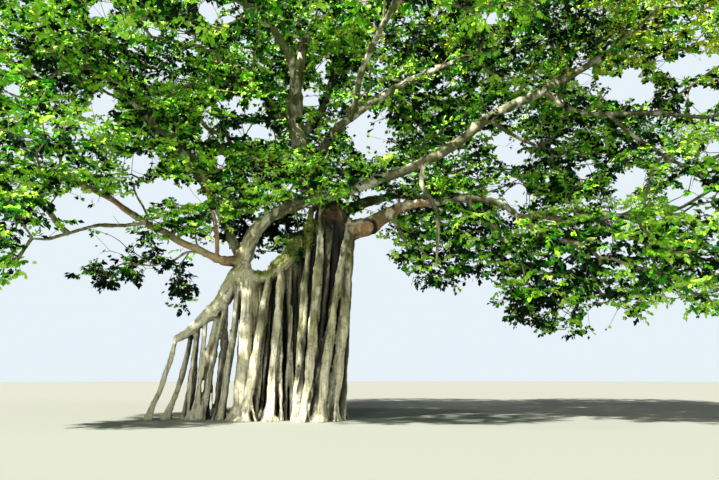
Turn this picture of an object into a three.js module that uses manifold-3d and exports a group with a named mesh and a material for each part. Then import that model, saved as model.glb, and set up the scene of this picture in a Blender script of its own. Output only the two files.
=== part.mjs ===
// Banyan tree: a fluted main trunk and a smaller left trunk, joined by a sagging bridge limb, with pillar
// roots under the bridge and under a slanting strut, long arching boughs, and a wide crown of leaf masses.
// Millimetres, +Z up, +X to the right of the front view, +Y to the back. The origin is on the flat cut
// under the main trunk, at ground level. Every piece is its own closed mesh, 0.3 mm clear of what it touches.
import * as THREE from "three";
import { mergeVertices } from "three/addons/utils/BufferGeometryUtils.js";
import Module from "manifold-3d";

const wasm = await Module();
wasm.setup();

// Driving sizes. Places and radii here and in the tables are in metres; METRE turns them into millimetres.
const METRE = 1000;
const TOUCH = 0.3 / METRE;
const TRUNK_HEIGHT = 9.2;
const LEFT_TRUNK_HEIGHT = 6.7;
const LEFT_FORK = [-3.65, 0, LEFT_TRUNK_HEIGHT - 0.3];
const TRUNK_FORK = [-0.1, 0.3, TRUNK_HEIGHT - 0.3];
const FLARE_HEIGHT = 0.45;
const RING_SPACING = 1.8;
const FEWEST_RINGS = 4;

// Colours of the bark and the leaves.
const LOOKS = {
  bark: { color: new THREE.Color(0.6, 0.55, 0.46), roughness: 0.9, metalness: 0 },
  mossy_bark: { color: new THREE.Color(0.38, 0.4, 0.24), roughness: 0.95, metalness: 0 },
  bright_leaves: { color: new THREE.Color(0.36, 0.56, 0.12), roughness: 0.7, metalness: 0 },
  deep_leaves: { color: new THREE.Color(0.12, 0.36, 0.1), roughness: 0.7, metalness: 0 },
};

// Upright pieces from the ground up: route of centres, radii along it (x, y), ribs and their depth, and root
// flare. There are two sides to a rib.
const COLUMNS = {
  main_trunk: {
    route: [[0, 0, 0], [0.12, 0.1, 2.4], [0.44, 0.1, 4.8], [0.5, 0.15, 7], [0.3, 0.25, 8.3],
      [0.05, 0.3, TRUNK_HEIGHT]],
    radii: [[0.56, 0.8], [0.5, 0.75], [0.5, 0.75], [0.56, 0.8], [0.72, 0.8], [0.5, 0.6]],
    ribs: 7, ribDepth: 0.12, flare: 0.5, sides: 14,
  },
  left_trunk: {
    route: [[-3.2, 0, 0], [-3.26, 0, 2.4], [-3.3, 0, 4.4], [-3.48, 0, 5.7], [-3.65, 0, LEFT_TRUNK_HEIGHT]],
    radii: [[0.36, 0.44], [0.31, 0.42], [0.34, 0.42], [0.44, 0.5], [0.44, 0.46]],
    ribs: 5, ribDepth: 0.11, flare: 0.5, sides: 10,
  },
};

// Pillar roots: foot and head of each, a bow at its middle, and its radius at the head and at the foot.
const PILLAR_ROOTS = {
  strut_tip_root: { foot: [-7.1, 0], head: [-6.18, 0, 3.12], bow: [0.1, 0], radii: [0.1, 0.13] },
  strut_root_1: { foot: [-6.45, 0.35], head: [-5.55, 0.12, 3.5], bow: [0.1, 0], radii: [0.09, 0.12] },
  strut_root_2: { foot: [-5.36, 0], head: [-5.28, 0, 3.7], bow: [0, 0], radii: [0.18, 0.27] },
  strut_root_3: { foot: [-4.95, -0.1], head: [-4.2, 0, 4.75], bow: [-0.08, 0], radii: [0.12, 0.13] },
  strut_root_4: { foot: [-4.36, 0.12], head: [-4.2, 0.1, 4.8], bow: [0.04, 0], radii: [0.12, 0.16] },
  bridge_root_1: { foot: [-3.05, -0.85], head: [-2.42, -0.16, 5.75], bow: [0, -0.1], radii: [0.14, 0.23] },
  bridge_root_2: { foot: [-2.6, 0.12], head: [-2.32, 0.02, 5.7], bow: [0.06, 0], radii: [0.085, 0.1] },
  bridge_root_3: { foot: [-2.12, -0.45], head: [-1.9, -0.22, 6.15], bow: [0.02, 0], radii: [0.17, 0.25] },
  bridge_root_4: { foot: [-1.26, -0.05], head: [-1.66, -0.08, 6.35], bow: [0.02, 0], radii: [0.11, 0.15] },
  bridge_root_5: { foot: [-1.05, 0.4], head: [-1.08, 0.2, 7.1], bow: [0, 0], radii: [0.13, 0.16] },
  trunk_root_1: { foot: [-0.98, -0.72], head: [-0.74, -0.36, 8.75], bow: [0.03, 0], radii: [0.18, 0.18] },
  trunk_root_2: { foot: [-0.6, -1.02], head: [-0.28, -0.5, 9.0], bow: [0, 0], radii: [0.18, 0.2] },
  back_root: { foot: [-2.3, 1.05], head: [-2.05, 0.25, 6.3], bow: [0, 0.12], radii: [0.15, 0.19] },
};
const PILLAR_SHAPE = { ribs: 0, ribDepth: 0, flare: 0.35, sides: 6 };
const RIB_SPREAD = 2;

// Boughs and limbs, thickest first: the route from the parent to the tip, the radii spread along it, and the
// leaf mass at whose surface it ends.
const LIMBS = {
  bridge_limb: {
    route: [[-3.4, 0, 5.75], [-2.56, 0, 5.76], [-1.8, 0, 6.35], [-1.1, 0.05, 7.2], [-0.3, 0.15, 8.1]],
    radii: [0.24, 0.27, 0.38, 0.46, 0.42], sides: 9, look: "mossy_bark",
  },
  strut_limb: {
    route: [[-3.6, 0, 6.2], [-4.4, 0, 4.9], [-5.03, 0, 4.1], [-5.75, 0, 3.42], [-6.25, 0, 3.18]],
    radii: [0.42, 0.36, 0.3, 0.2, 0.13], sides: 9,
  },
  arch_bough: {
    route: [LEFT_FORK, [-3.0, -0.25, 7.7], [-2.1, -0.4, 8.5], [-1.1, -0.4, 8.86], [-0.3, -0.35, 9.2]],
    radii: [0.4, 0.3, 0.26, 0.24, 0.24], sides: 9,
  },
  leader: {
    route: [TRUNK_FORK, [-1.0, 0.8, 11], [-1.6, 1, 13.2], [-1.5, 1.4, 16.8], [-0.8, 1.6, 19.2]],
    radii: [0.5, 0.42, 0.38, 0.27, 0.14], sides: 8, carries: "crown_top",
  },
  right_bough: {
    route: [[0.7, 0.05, 7.8], [1.6, 0, 7.95], [2.5, -0.1, 8.5], [3.4, -0.1, 8.95], [4.5, 0, 8.98]],
    radii: [0.5, 0.45, 0.3, 0.21, 0.18], sides: 8,
  },
  right_bough_outer: {
    route: [[4.4, 0, 8.98], [6.2, 0.1, 9.3], [7.5, 0.2, 9.1], [9.3, 0.4, 7.7]],
    radii: [0.175, 0.16, 0.14, 0.1], sides: 7, carries: "crown_right_low",
  },
  long_bough: {
    route: [[-0.2, -0.35, 9.1], [3.1, -0.7, 10.2], [5.2, -1, 11.2], [6.9, -1.2, 12.45], [9.2, -1.6, 13.6],
      [12.9, -2.3, 15.5]],
    radii: [0.27, 0.21, 0.21, 0.21, 0.18, 0.13], sides: 8, carries: "crown_right_top",
  },
  left_bough: {
    route: [LEFT_FORK, [-4.8, -0.2, 6.65], [-6.8, -0.5, 7.6], [-8.9, -1.1, 8.8], [-10.3, -2.4, 9.5]],
    radii: [0.28, 0.18, 0.15, 0.125, 0.09], sides: 7, carries: "crown_left",
  },
  left_upper_bough: {
    route: [[-3.65, 0.25, 6.5], [-4.3, 0.4, 7.9], [-5.3, 0.1, 9.7], [-6.5, -0.9, 11.4], [-8, -1.4, 12.9],
      [-10.4, -1.8, 15.0]],
    radii: [0.24, 0.18, 0.18, 0.18, 0.16, 0.11], sides: 7, carries: "crown_left_top",
  },
  upper_right_bough: {
    route: [[-0.75, 0.55, 10.4], [0.14, 0.1, 12.2], [1.95, -0.5, 13.5], [4.9, -1.2, 14.8], [7.6, -0.6, 16.1]],
    radii: [0.24, 0.18, 0.16, 0.14, 0.1], sides: 7, carries: "crown_upper_right",
  },
  inner_bough: {
    route: [[-1.5, 0.95, 12.4], [-0.5, 1.7, 14.1], [0.1, 2.2, 16.4], [1.3, 2.5, 19.3]],
    radii: [0.23, 0.2, 0.17, 0.1], sides: 7, carries: "crown_top",
  },
  back_left_bough: {
    route: [[-0.5, 0.6, 9.6], [-2.5, 3.5, 11.6], [-5, 7.2, 14.2]],
    radii: [0.28, 0.21, 0.14], sides: 6, carries: "crown_back_left",
  },
  back_right_bough: {
    route: [[0.2, 0.5, 8.8], [2.9, 3.5, 10.4], [6.8, 7.5, 12.6]],
    radii: [0.28, 0.21, 0.14], sides: 6, carries: "crown_back_right",
  },
  front_left_bough: {
    route: [[-1.55, 0.9, 13.6], [-1.7, -1.5, 15.2], [-3.0, -5, 15.4], [-4, -7, 15.2]],
    radii: [0.2, 0.16, 0.12, 0.09], sides: 5, carries: "crown_front_left",
  },
  front_right_bough: {
    route: [[1.0, -0.1, 12.8], [1.6, -2.5, 14.5], [3.4, -6.6, 15.7]],
    radii: [0.15, 0.13, 0.1], sides: 5, carries: "crown_front_right",
  },
  right_side_branch: {
    route: [[9.1, -1.6, 13.5], [10.8, -1.5, 12.6], [13.9, -1.6, 12.5], [16.2, -1.7, 12.3], [17.2, -1.9, 13]],
    radii: [0.13, 0.11, 0.1, 0.08, 0.06], sides: 5, carries: "right_branch_foliage",
  },
  right_hanging_branch: {
    route: [[11.8, -1.55, 12.5], [13.1, -1.5, 11.3], [14.3, -1.8, 10.3], [15, -2.8, 9.3]],
    radii: [0.085, 0.08, 0.07, 0.05], sides: 5, carries: "right_edge",
  },
  right_mid_branch: {
    route: [[7, -1.1, 12.4], [8.3, -0.3, 12], [10.2, 1, 11.7]],
    radii: [0.11, 0.09, 0.07], sides: 5, carries: "crown_right_mid",
  },
  left_upright_branch: {
    route: [[-4.6, -0.25, 6.6], [-4.6, -0.6, 7.5], [-4.85, -0.8, 8.8], [-5.6, -0.6, 10.6], [-6.8, 0.4, 12.2]],
    radii: [0.1, 0.095, 0.085, 0.075, 0.055], sides: 5, carries: "crown_inner_left",
  },
  lower_left_branch: {
    route: [[-7.6, -0.6, 8.0], [-8.2, -1, 7.85], [-9.1, -2.2, 7.4], [-9.7, -3.8, 6.6], [-9.9, -4.9, 6.3]],
    radii: [0.085, 0.08, 0.07, 0.06, 0.05], sides: 5, carries: "crown_left_tip",
  },
  low_twig: {
    route: [[-4.9, -0.2, 6.6], [-5.9, 0.1, 6.9], [-6.8, 0.4, 6.5], [-7.8, 0.8, 6.4], [-9, 1.1, 6.6]],
    radii: [0.06, 0.055, 0.05, 0.045, 0.04], sides: 5, carries: "left_low_foliage",
  },
  hanging_root: {
    route: [[4.15, -0.85, 10.55], [4.0, -0.95, 9.5], [4.35, -0.95, 8.8], [4.56, -0.95, 8.2],
      [4.52, -0.95, 6.2]],
    radii: [0.1, 0.1, 0.1, 0.09, 0.05], sides: 5,
  },
};

// Leaf masses: centre, half sizes and look of each.
const MASSES = {
  crown_top: { centre: [1.6, 1.5, 20.3], half: [6.8, 6.4, 2.2], look: "bright_leaves" },
  crown_centre_top: { centre: [-2, 2, 17.9], half: [3.9, 4.6, 3.3], look: "bright_leaves" },
  crown_upper_left: { centre: [-8.9, 2, 17.5], half: [4.3, 5, 3.2], look: "bright_leaves" },
  crown_left_top: { centre: [-12.9, -3, 15.2], half: [4.4, 5, 2.9], look: "bright_leaves" },
  crown_left: { centre: [-11.3, -4.6, 9.7], half: [3.7, 4.2, 2], look: "bright_leaves" },
  crown_left_tip: { centre: [-10.6, -6.3, 6.4], half: [2.2, 2.9, 2.1], look: "bright_leaves" },
  crown_inner_left: { centre: [-7.9, 2.3, 13], half: [2.6, 3.4, 2.4] },
  crown_centre_left: { centre: [-4.1, 1.2, 13.2], half: [2.2, 3, 2.8] },
  left_low_foliage: { centre: [-9.8, 1.2, 6.7], half: [2.3, 2, 1.25] },
  fork_foliage: { centre: [-5.9, -0.6, 8.1], half: [2.1, 1.5, 0.95], look: "bright_leaves" },
  trunk_top_foliage: { centre: [-1.9, -0.9, 9.75], half: [2.7, 1.3, 1.3], look: "bright_leaves" },
  crown_mid_right: { centre: [5.2, 2.6, 15.6], half: [2.4, 3.2, 3.7] },
  crown_upper_right: { centre: [9.9, 0.6, 17.4], half: [4.1, 4.9, 3.1], look: "bright_leaves" },
  crown_right_top: { centre: [15.4, -3, 16.2], half: [4.6, 4.9, 2.4], look: "bright_leaves" },
  right_branch_foliage: { centre: [15, -1.6, 13.6], half: [3.6, 2.6, 1] },
  crown_right_mid: { centre: [12, 2.2, 12.2], half: [3.1, 3.4, 2.4] },
  crown_right_low: { centre: [11, 1.4, 6.1], half: [3.4, 4.6, 2.9] },
  right_droop: { centre: [5.5, 2, 8.1], half: [2.8, 2.8, 3.1] },
  right_edge: { centre: [15.2, -4, 6.9], half: [3.8, 4.3, 3.8], look: "bright_leaves" },
  crown_front_left: { centre: [-5.4, -9, 15.4], half: [5.8, 4.8, 2.6], look: "bright_leaves" },
  crown_front_right: { centre: [6, -9, 16], half: [6.2, 4.8, 2.6], look: "bright_leaves" },
  crown_back_left: { centre: [-6.3, 9, 15.7], half: [7, 5.8, 3.3] },
  crown_back_right: { centre: [9.6, 9, 14.4], half: [6.4, 5.8, 4.2] },
};
const BIG_MASS = 3.3;
const MASS_UNDERSIDE = 0.8;
const MASS_WAVES = { sideways: 0.1, upright: 0.07, slanting: 0.05 };

// The value at share t of a list of numbers, or of lists of numbers, spread evenly.
function along(values, t) {
  const at = t * (values.length - 1);
  const i = Math.min(Math.floor(at), values.length - 2);
  const mix = (a, b) => a + (b - a) * (at - i);
  const [low, high] = [values[i], values[i + 1]];
  return Array.isArray(low) ? low.map((v, k) => mix(v, high[k])) : mix(low, high);
}

function curveThrough(route) {
  return new THREE.CatmullRomCurve3(route.map((p) => new THREE.Vector3(...p)), false, "centripetal");
}

// Moves every vertex of a geometry by a function of its place in metres, and scales it to millimetres.
function reshape(geometry, moved) {
  const position = geometry.attributes.position;
  const v = new THREE.Vector3();
  for (let i = 0; i < position.count; i++) {
    v.fromBufferAttribute(position, i);
    v.copy(moved(v)).multiplyScalar(METRE);
    position.setXYZ(i, v.x, v.y, v.z);
  }
  return geometry;
}

// A tapering limb: a closed cylinder bent along its route. grow is added to its radius and to its ends.
function limb({ route, radii, sides }, grow) {
  const curve = curveThrough(route);
  const length = curve.getLength();
  const steps = Math.max(FEWEST_RINGS, Math.ceil(length / RING_SPACING));
  const frames = curve.computeFrenetFrames(steps, false);
  return reshape(new THREE.CylinderGeometry(1, 1, 1, sides, steps), (v) => {
    const ring = Math.round((v.y + 0.5) * steps);
    const u = ring / steps;
    const radius = along(radii, curve.getUtoTmapping(u)) + grow;
    const end = ring === 0 ? -grow : ring === steps ? grow : 0;
    return curve
      .getPointAt(u)
      .addScaledVector(frames.tangents[ring], end)
      .addScaledVector(frames.normals[ring], v.x * radius)
      .addScaledVector(frames.binormals[ring], -v.z * radius);
  });
}

// An upright piece with level rings, ribbed, and flared at the ground, where its foot is cut flat. Its second
// ring is at the top of the flare.
function column({ route, radii, ribs, ribDepth, flare, sides }, grow) {
  const curve = curveThrough(route);
  const steps = Math.ceil(curve.getLength() / RING_SPACING) + 1;
  const flareShare = FLARE_HEIGHT / curve.getLength();
  const above = Array.from({ length: steps }, (_, i) => THREE.MathUtils.lerp(flareShare, 1, (i + 1) / steps));
  const shares = [0, flareShare, ...above];
  const geometry = new THREE.CylinderGeometry(1, 1, 1, sides, shares.length - 1).rotateX(Math.PI / 2);
  return reshape(geometry, (v) => {
    const ring = Math.round((v.z + 0.5) * (shares.length - 1));
    const t = curve.getUtoTmapping(shares[ring]);
    const centre = curve.getPoint(t);
    const [rx, ry] = along(radii, t);
    const angle = Math.atan2(v.y, v.x);
    const onRim = Math.round(Math.hypot(v.x, v.y)) === 1;
    const foot = ring === 0 ? flare : 0;
    const shape = 1 + foot + ribDepth * (1 + RIB_SPREAD * foot) * Math.sin(ribs * angle);
    const top = ring === shares.length - 1 ? grow : 0;
    return new THREE.Vector3(
      centre.x + (onRim ? Math.cos(angle) * (rx * shape + grow) : 0),
      centre.y + (onRim ? Math.sin(angle) * (ry * shape + grow) : 0),
      centre.z + top,
    );
  });
}

// A pillar root is a slim column from its foot to its head, flared at the ground.
function pillarRoot({ foot, head, bow, radii: [atHead, atFoot] }, grow) {
  const middle = [0, 1, 2].map((k) => ((foot[k] ?? 0) + head[k]) / 2 + (bow[k] ?? 0));
  const radii = [atFoot, (atFoot + atHead) / 2, atHead].map((r) => [r, r]);
  const route = [[...foot, 0], middle, head];
  return column({ route, radii, ...PILLAR_SHAPE }, grow);
}

// A leaf mass: an uneven ball, flatter below than above. Its waves differ with its centre.
function leafMass({ centre, half }, grow) {
  const [px, py, pz] = centre;
  const detail = half[0] < BIG_MASS ? 1 : 2;
  return reshape(new THREE.IcosahedronGeometry(1, detail), (v) => {
    const size =
      1 +
      MASS_WAVES.sideways * Math.sin(3 * v.x + px) * Math.cos(3 * v.y + py) +
      MASS_WAVES.upright * Math.sin(4 * v.z + pz + 2 * v.x) +
      MASS_WAVES.slanting * Math.cos(5 * v.y + px - 3 * v.z);
    const down = v.z < 0 ? MASS_UNDERSIDE : 1;
    return new THREE.Vector3(
      px + v.x * (half[0] * size + grow),
      py + v.y * (half[1] * size + grow),
      pz + v.z * (half[2] * size * down + grow),
    );
  });
}

// A closed geometry as a solid that can be cut.
function solidOf(geometry) {
  geometry.deleteAttribute("normal").deleteAttribute("uv");
  const merged = mergeVertices(geometry, 1e-3);
  return new wasm.Manifold(
    new wasm.Mesh({
      numProp: 3,
      vertProperties: merged.attributes.position.array,
      triVerts: new Uint32Array(merged.index.array),
    }),
  );
}

function geometryOf(solid) {
  const mesh = solid.getMesh();
  return new THREE.BufferGeometry()
    .setAttribute("position", new THREE.BufferAttribute(mesh.vertProperties, 3))
    .setIndex(new THREE.BufferAttribute(mesh.triVerts, 1));
}

function boxesMeet(a, b) {
  return [0, 1, 2].every((k) => a.min[k] <= b.max[k] && b.min[k] <= a.max[k]);
}

const biggest = (solid) => solid.decompose().reduce((a, b) => (a.volume() > b.volume() ? a : b));

// Adds pieces one by one. Each is cut back from all the earlier ones, and a limb also from the mass that it
// carries.
const tree = new THREE.Group();
const earlier = [];
function addPieces(table, make, usualLook) {
  for (const [name, sizes] of Object.entries(table)) {
    let solid = solidOf(make(sizes, 0));
    for (const other of earlier)
      if (other.carries !== name && boxesMeet(solid.boundingBox(), other.box))
        solid = solid.subtract(other.solid);
    if (sizes.carries) solid = solid.subtract(solidOf(leafMass(MASSES[sizes.carries], TOUCH)));
    const grown = solidOf(make(sizes, TOUCH));
    earlier.push({ solid: grown, box: grown.boundingBox(), carries: sizes.carries });
    const material = new THREE.MeshStandardMaterial(LOOKS[sizes.look ?? usualLook]);
    const mesh = new THREE.Mesh(geometryOf(biggest(solid)), material);
    mesh.name = name;
    tree.add(mesh);
  }
}

addPieces(COLUMNS, column, "bark");
addPieces(LIMBS, limb, "bark");
addPieces(PILLAR_ROOTS, pillarRoot, "bark");
addPieces(MASSES, leafMass, "deep_leaves");

export default tree;
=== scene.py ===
"""Banyan tree: bark, moss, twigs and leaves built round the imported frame.

Metres, +Z up, +X to the right of the photo, +Y away from the camera. The trunks, roots and thick limbs are
tubes fused by a remesh, and the boughs are ridged tubes. Twigs grow on from them to points inside the leaf
masses and between them, and carry the sprays of leaves.
"""
import itertools
import math

import bpy
import numpy as np
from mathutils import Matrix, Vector
from mathutils.bvhtree import BVHTree


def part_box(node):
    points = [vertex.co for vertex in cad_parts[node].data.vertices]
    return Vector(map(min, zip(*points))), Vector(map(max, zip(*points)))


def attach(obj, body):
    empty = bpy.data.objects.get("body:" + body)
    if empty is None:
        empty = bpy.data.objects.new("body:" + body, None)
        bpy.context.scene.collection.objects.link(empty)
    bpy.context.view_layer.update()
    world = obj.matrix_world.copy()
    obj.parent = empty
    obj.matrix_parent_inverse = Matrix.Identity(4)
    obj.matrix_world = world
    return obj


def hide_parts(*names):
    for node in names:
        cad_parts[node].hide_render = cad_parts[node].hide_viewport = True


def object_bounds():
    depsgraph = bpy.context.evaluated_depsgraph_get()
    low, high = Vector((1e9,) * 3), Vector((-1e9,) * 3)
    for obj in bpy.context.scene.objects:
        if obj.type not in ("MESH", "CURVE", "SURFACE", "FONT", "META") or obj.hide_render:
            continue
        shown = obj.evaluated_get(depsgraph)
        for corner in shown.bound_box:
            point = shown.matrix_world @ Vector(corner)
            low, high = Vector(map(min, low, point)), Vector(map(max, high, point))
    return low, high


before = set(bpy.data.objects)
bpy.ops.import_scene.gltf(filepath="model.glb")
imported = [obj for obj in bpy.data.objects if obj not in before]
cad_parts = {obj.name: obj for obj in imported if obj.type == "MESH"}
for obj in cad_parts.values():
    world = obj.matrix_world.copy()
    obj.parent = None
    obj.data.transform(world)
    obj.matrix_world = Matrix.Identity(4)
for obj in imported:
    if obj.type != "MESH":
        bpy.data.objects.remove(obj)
CAD_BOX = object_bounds()
MASS_NAMES = [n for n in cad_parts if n.startswith("crown") or n.endswith(("foliage", "droop", "edge"))]
SEED = 23

# The camera: an eye 1.6 m above the ground, 25 m in front of the trunk, looking up at the photo's angle.
IMAGE_WIDTH = 719
IMAGE_HEIGHT = 480
FOCAL_PIXELS = 600
SENSOR_WIDTH = 36
EYE = np.array([1.38, -25.0, 1.6])
PITCH = math.radians(13.04)

# The stage. Lamps: turn and tilt in degrees, power, size in degrees, and colour.
FLOOR_COLOUR = (0.25, 0.26, 0.23)
BACKDROP_COLOUR = (0.84, 0.93, 1)
LAMPS = {
    "key": (-42, 43, 12.8, 1.2, (1, 0.97, 0.88)),
    "side": (62, 38, 0.7, 8, (1, 1, 0.92)),
    "front": (-14, 13, 0.75, 14, (1, 0.99, 0.93)),
}

# Routes and radii of the limbs, as their solids have them.
LIMBS = {
    "bridge_limb": (
        [(-3.4, 0, 5.75), (-2.56, 0, 5.76), (-1.8, 0, 6.35), (-1.1, 0.05, 7.2), (-0.3, 0.15, 8.1)],
        [0.24, 0.27, 0.38, 0.46, 0.42]),
    "strut_limb": (
        [(-3.6, 0, 6.2), (-4.4, 0, 4.9), (-5.03, 0, 4.1), (-5.75, 0, 3.42), (-6.25, 0, 3.18)],
        [0.42, 0.36, 0.3, 0.2, 0.13]),
    "arch_bough": (
        [(-3.65, 0, 6.4), (-3.0, -0.25, 7.7), (-2.1, -0.4, 8.5), (-1.1, -0.4, 8.86), (-0.3, -0.35, 9.2)],
        [0.4, 0.3, 0.26, 0.24, 0.24]),
    "leader": (
        [(-0.1, 0.3, 8.9), (-1.0, 0.8, 11), (-1.6, 1, 13.2), (-1.5, 1.4, 16.8), (-0.8, 1.6, 19.2)],
        [0.5, 0.42, 0.38, 0.27, 0.14]),
    "right_bough": (
        [(0.7, 0.05, 7.8), (1.6, 0, 7.95), (2.5, -0.1, 8.5), (3.4, -0.1, 8.95), (4.5, 0, 8.98)],
        [0.5, 0.45, 0.3, 0.21, 0.18]),
    "right_bough_outer": (
        [(4.4, 0, 8.98), (6.2, 0.1, 9.3), (7.5, 0.2, 9.1), (9.3, 0.4, 7.7)],
        [0.175, 0.16, 0.14, 0.1]),
    "long_bough": (
        [(-0.2, -0.35, 9.1), (3.1, -0.7, 10.2), (5.2, -1, 11.2), (6.9, -1.2, 12.45), (9.2, -1.6, 13.6),
         (12.9, -2.3, 15.5)],
        [0.27, 0.21, 0.21, 0.21, 0.18, 0.13]),
    "left_bough": (
        [(-3.65, 0, 6.4), (-4.8, -0.2, 6.65), (-6.8, -0.5, 7.6), (-8.9, -1.1, 8.8), (-10.3, -2.4, 9.5)],
        [0.28, 0.18, 0.15, 0.125, 0.09]),
    "left_upper_bough": (
        [(-3.65, 0.25, 6.5), (-4.3, 0.4, 7.9), (-5.3, 0.1, 9.7), (-6.5, -0.9, 11.4), (-8, -1.4, 12.9),
         (-10.4, -1.8, 15.0)],
        [0.24, 0.18, 0.18, 0.18, 0.16, 0.11]),
    "upper_right_bough": (
        [(-0.75, 0.55, 10.4), (0.14, 0.1, 12.2), (1.95, -0.5, 13.5), (4.9, -1.2, 14.8), (7.6, -0.6, 16.1)],
        [0.24, 0.18, 0.16, 0.14, 0.1]),
    "inner_bough": ([(-1.5, 0.95, 12.4), (-0.5, 1.7, 14.1), (0.1, 2.2, 16.4), (1.3, 2.5, 19.3)],
                    [0.23, 0.2, 0.17, 0.1]),
    "back_left_bough": ([(-0.5, 0.6, 9.6), (-2.5, 3.5, 11.6), (-5, 7.2, 14.2)], [0.28, 0.21, 0.14]),
    "back_right_bough": ([(0.2, 0.5, 8.8), (2.9, 3.5, 10.4), (6.8, 7.5, 12.6)], [0.28, 0.21, 0.14]),
    "front_left_bough": ([(-1.55, 0.9, 13.6), (-1.7, -1.5, 15.2), (-3.0, -5, 15.4), (-4, -7, 15.2)],
                         [0.2, 0.16, 0.12, 0.09]),
    "front_right_bough": ([(1.0, -0.1, 12.8), (1.6, -2.5, 14.5), (3.4, -6.6, 15.7)], [0.15, 0.13, 0.1]),
    "right_side_branch": (
        [(9.1, -1.6, 13.5), (10.8, -1.5, 12.6), (13.9, -1.6, 12.5), (16.2, -1.7, 12.3), (17.2, -1.9, 13)],
        [0.13, 0.11, 0.1, 0.08, 0.06]),
    "right_hanging_branch": ([(11.8, -1.55, 12.5), (13.1, -1.5, 11.3), (14.3, -1.8, 10.3), (15, -2.8, 9.3)],
                             [0.085, 0.08, 0.07, 0.05]),
    "right_mid_branch": ([(7, -1.1, 12.4), (8.3, -0.3, 12), (10.2, 1, 11.7)], [0.11, 0.09, 0.07]),
    "left_upright_branch": (
        [(-4.6, -0.25, 6.6), (-4.6, -0.6, 7.5), (-4.85, -0.8, 8.8), (-5.6, -0.6, 10.6), (-6.8, 0.4, 12.2)],
        [0.1, 0.095, 0.085, 0.075, 0.055]),
    "lower_left_branch": (
        [(-7.6, -0.6, 8.0), (-8.2, -1, 7.85), (-9.1, -2.2, 7.4), (-9.7, -3.8, 6.6), (-9.9, -4.9, 6.3)],
        [0.085, 0.08, 0.07, 0.06, 0.05]),
    "low_twig": ([(-4.9, -0.2, 6.6), (-5.9, 0.1, 6.9), (-6.8, 0.4, 6.5), (-7.8, 0.8, 6.4), (-9, 1.1, 6.6)],
                 [0.06, 0.055, 0.05, 0.045, 0.04]),
    "hanging_root": (
        [(4.15, -0.85, 10.55), (4.0, -0.95, 9.5), (4.35, -0.95, 8.8), (4.56, -0.95, 8.2), (4.52, -0.95, 6.2)],
        [0.1, 0.1, 0.1, 0.09, 0.05]),
}

# Pillar roots: foot (x, y), head (x, y, z), bow at the middle (x, y), and radius at the foot and the head.
LEFT_ROOTS = {
    "strut_tip_root": ((-7.1, 0), (-6.18, 0, 3.12), (0.1, 0), (0.12, 0.1)),
    "strut_root_1": ((-6.45, 0.35), (-5.55, 0.12, 3.5), (0.1, 0), (0.12, 0.09)),
    "strut_root_2": ((-5.4, 0), (-5.28, 0, 3.7), (-0.06, 0), (0.15, 0.12)),
    "strut_root_3": ((-4.95, -0.1), (-4.2, 0, 4.75), (-0.08, 0), (0.13, 0.12)),
    "strut_root_4": ((-4.36, 0.12), (-4.2, 0.1, 4.8), (0.04, 0), (0.16, 0.12)),
    "strut_fork": ((-5.06, -0.18), (-4.98, -0.06, 3.9), (-0.06, 0), (0.11, 0.1)),
    "strut_slant": ((-5.3, -0.22), (-4.5, -0.02, 4.3), (-0.02, 0), (0.08, 0.08)),
    "strut_thin": ((-4.75, 0.1), (-4.45, 0.05, 4.0), (-0.08, 0), (0.05, 0.045)),
    "strut_thinner": ((-4.55, 0.02), (-4.72, 0.1, 3.6), (0.05, 0), (0.035, 0.03)),
    "strut_back": ((-5.75, 0.3), (-5.35, 0.1, 3.6), (0.0, 0.1), (0.09, 0.07)),
    "left_front": ((-3.41, -0.38), (-3.3, -0.14, 6.1), (0.1, -0.08), (0.27, 0.2)),
    "left_side": ((-4.12, -0.18), (-3.62, -0.12, 6.0), (0.03, -0.05), (0.15, 0.15)),
    "left_right": ((-2.98, -0.12), (-3.05, 0.0, 5.7), (0.0, 0), (0.13, 0.14)),
    "left_back": ((-3.5, 0.42), (-3.5, 0.16, 6.2), (0.05, 0.05), (0.24, 0.18)),
    "left_back_side": ((-2.95, 0.4), (-3.25, 0.15, 5.9), (0.0, 0.05), (0.16, 0.13)),
}
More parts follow.
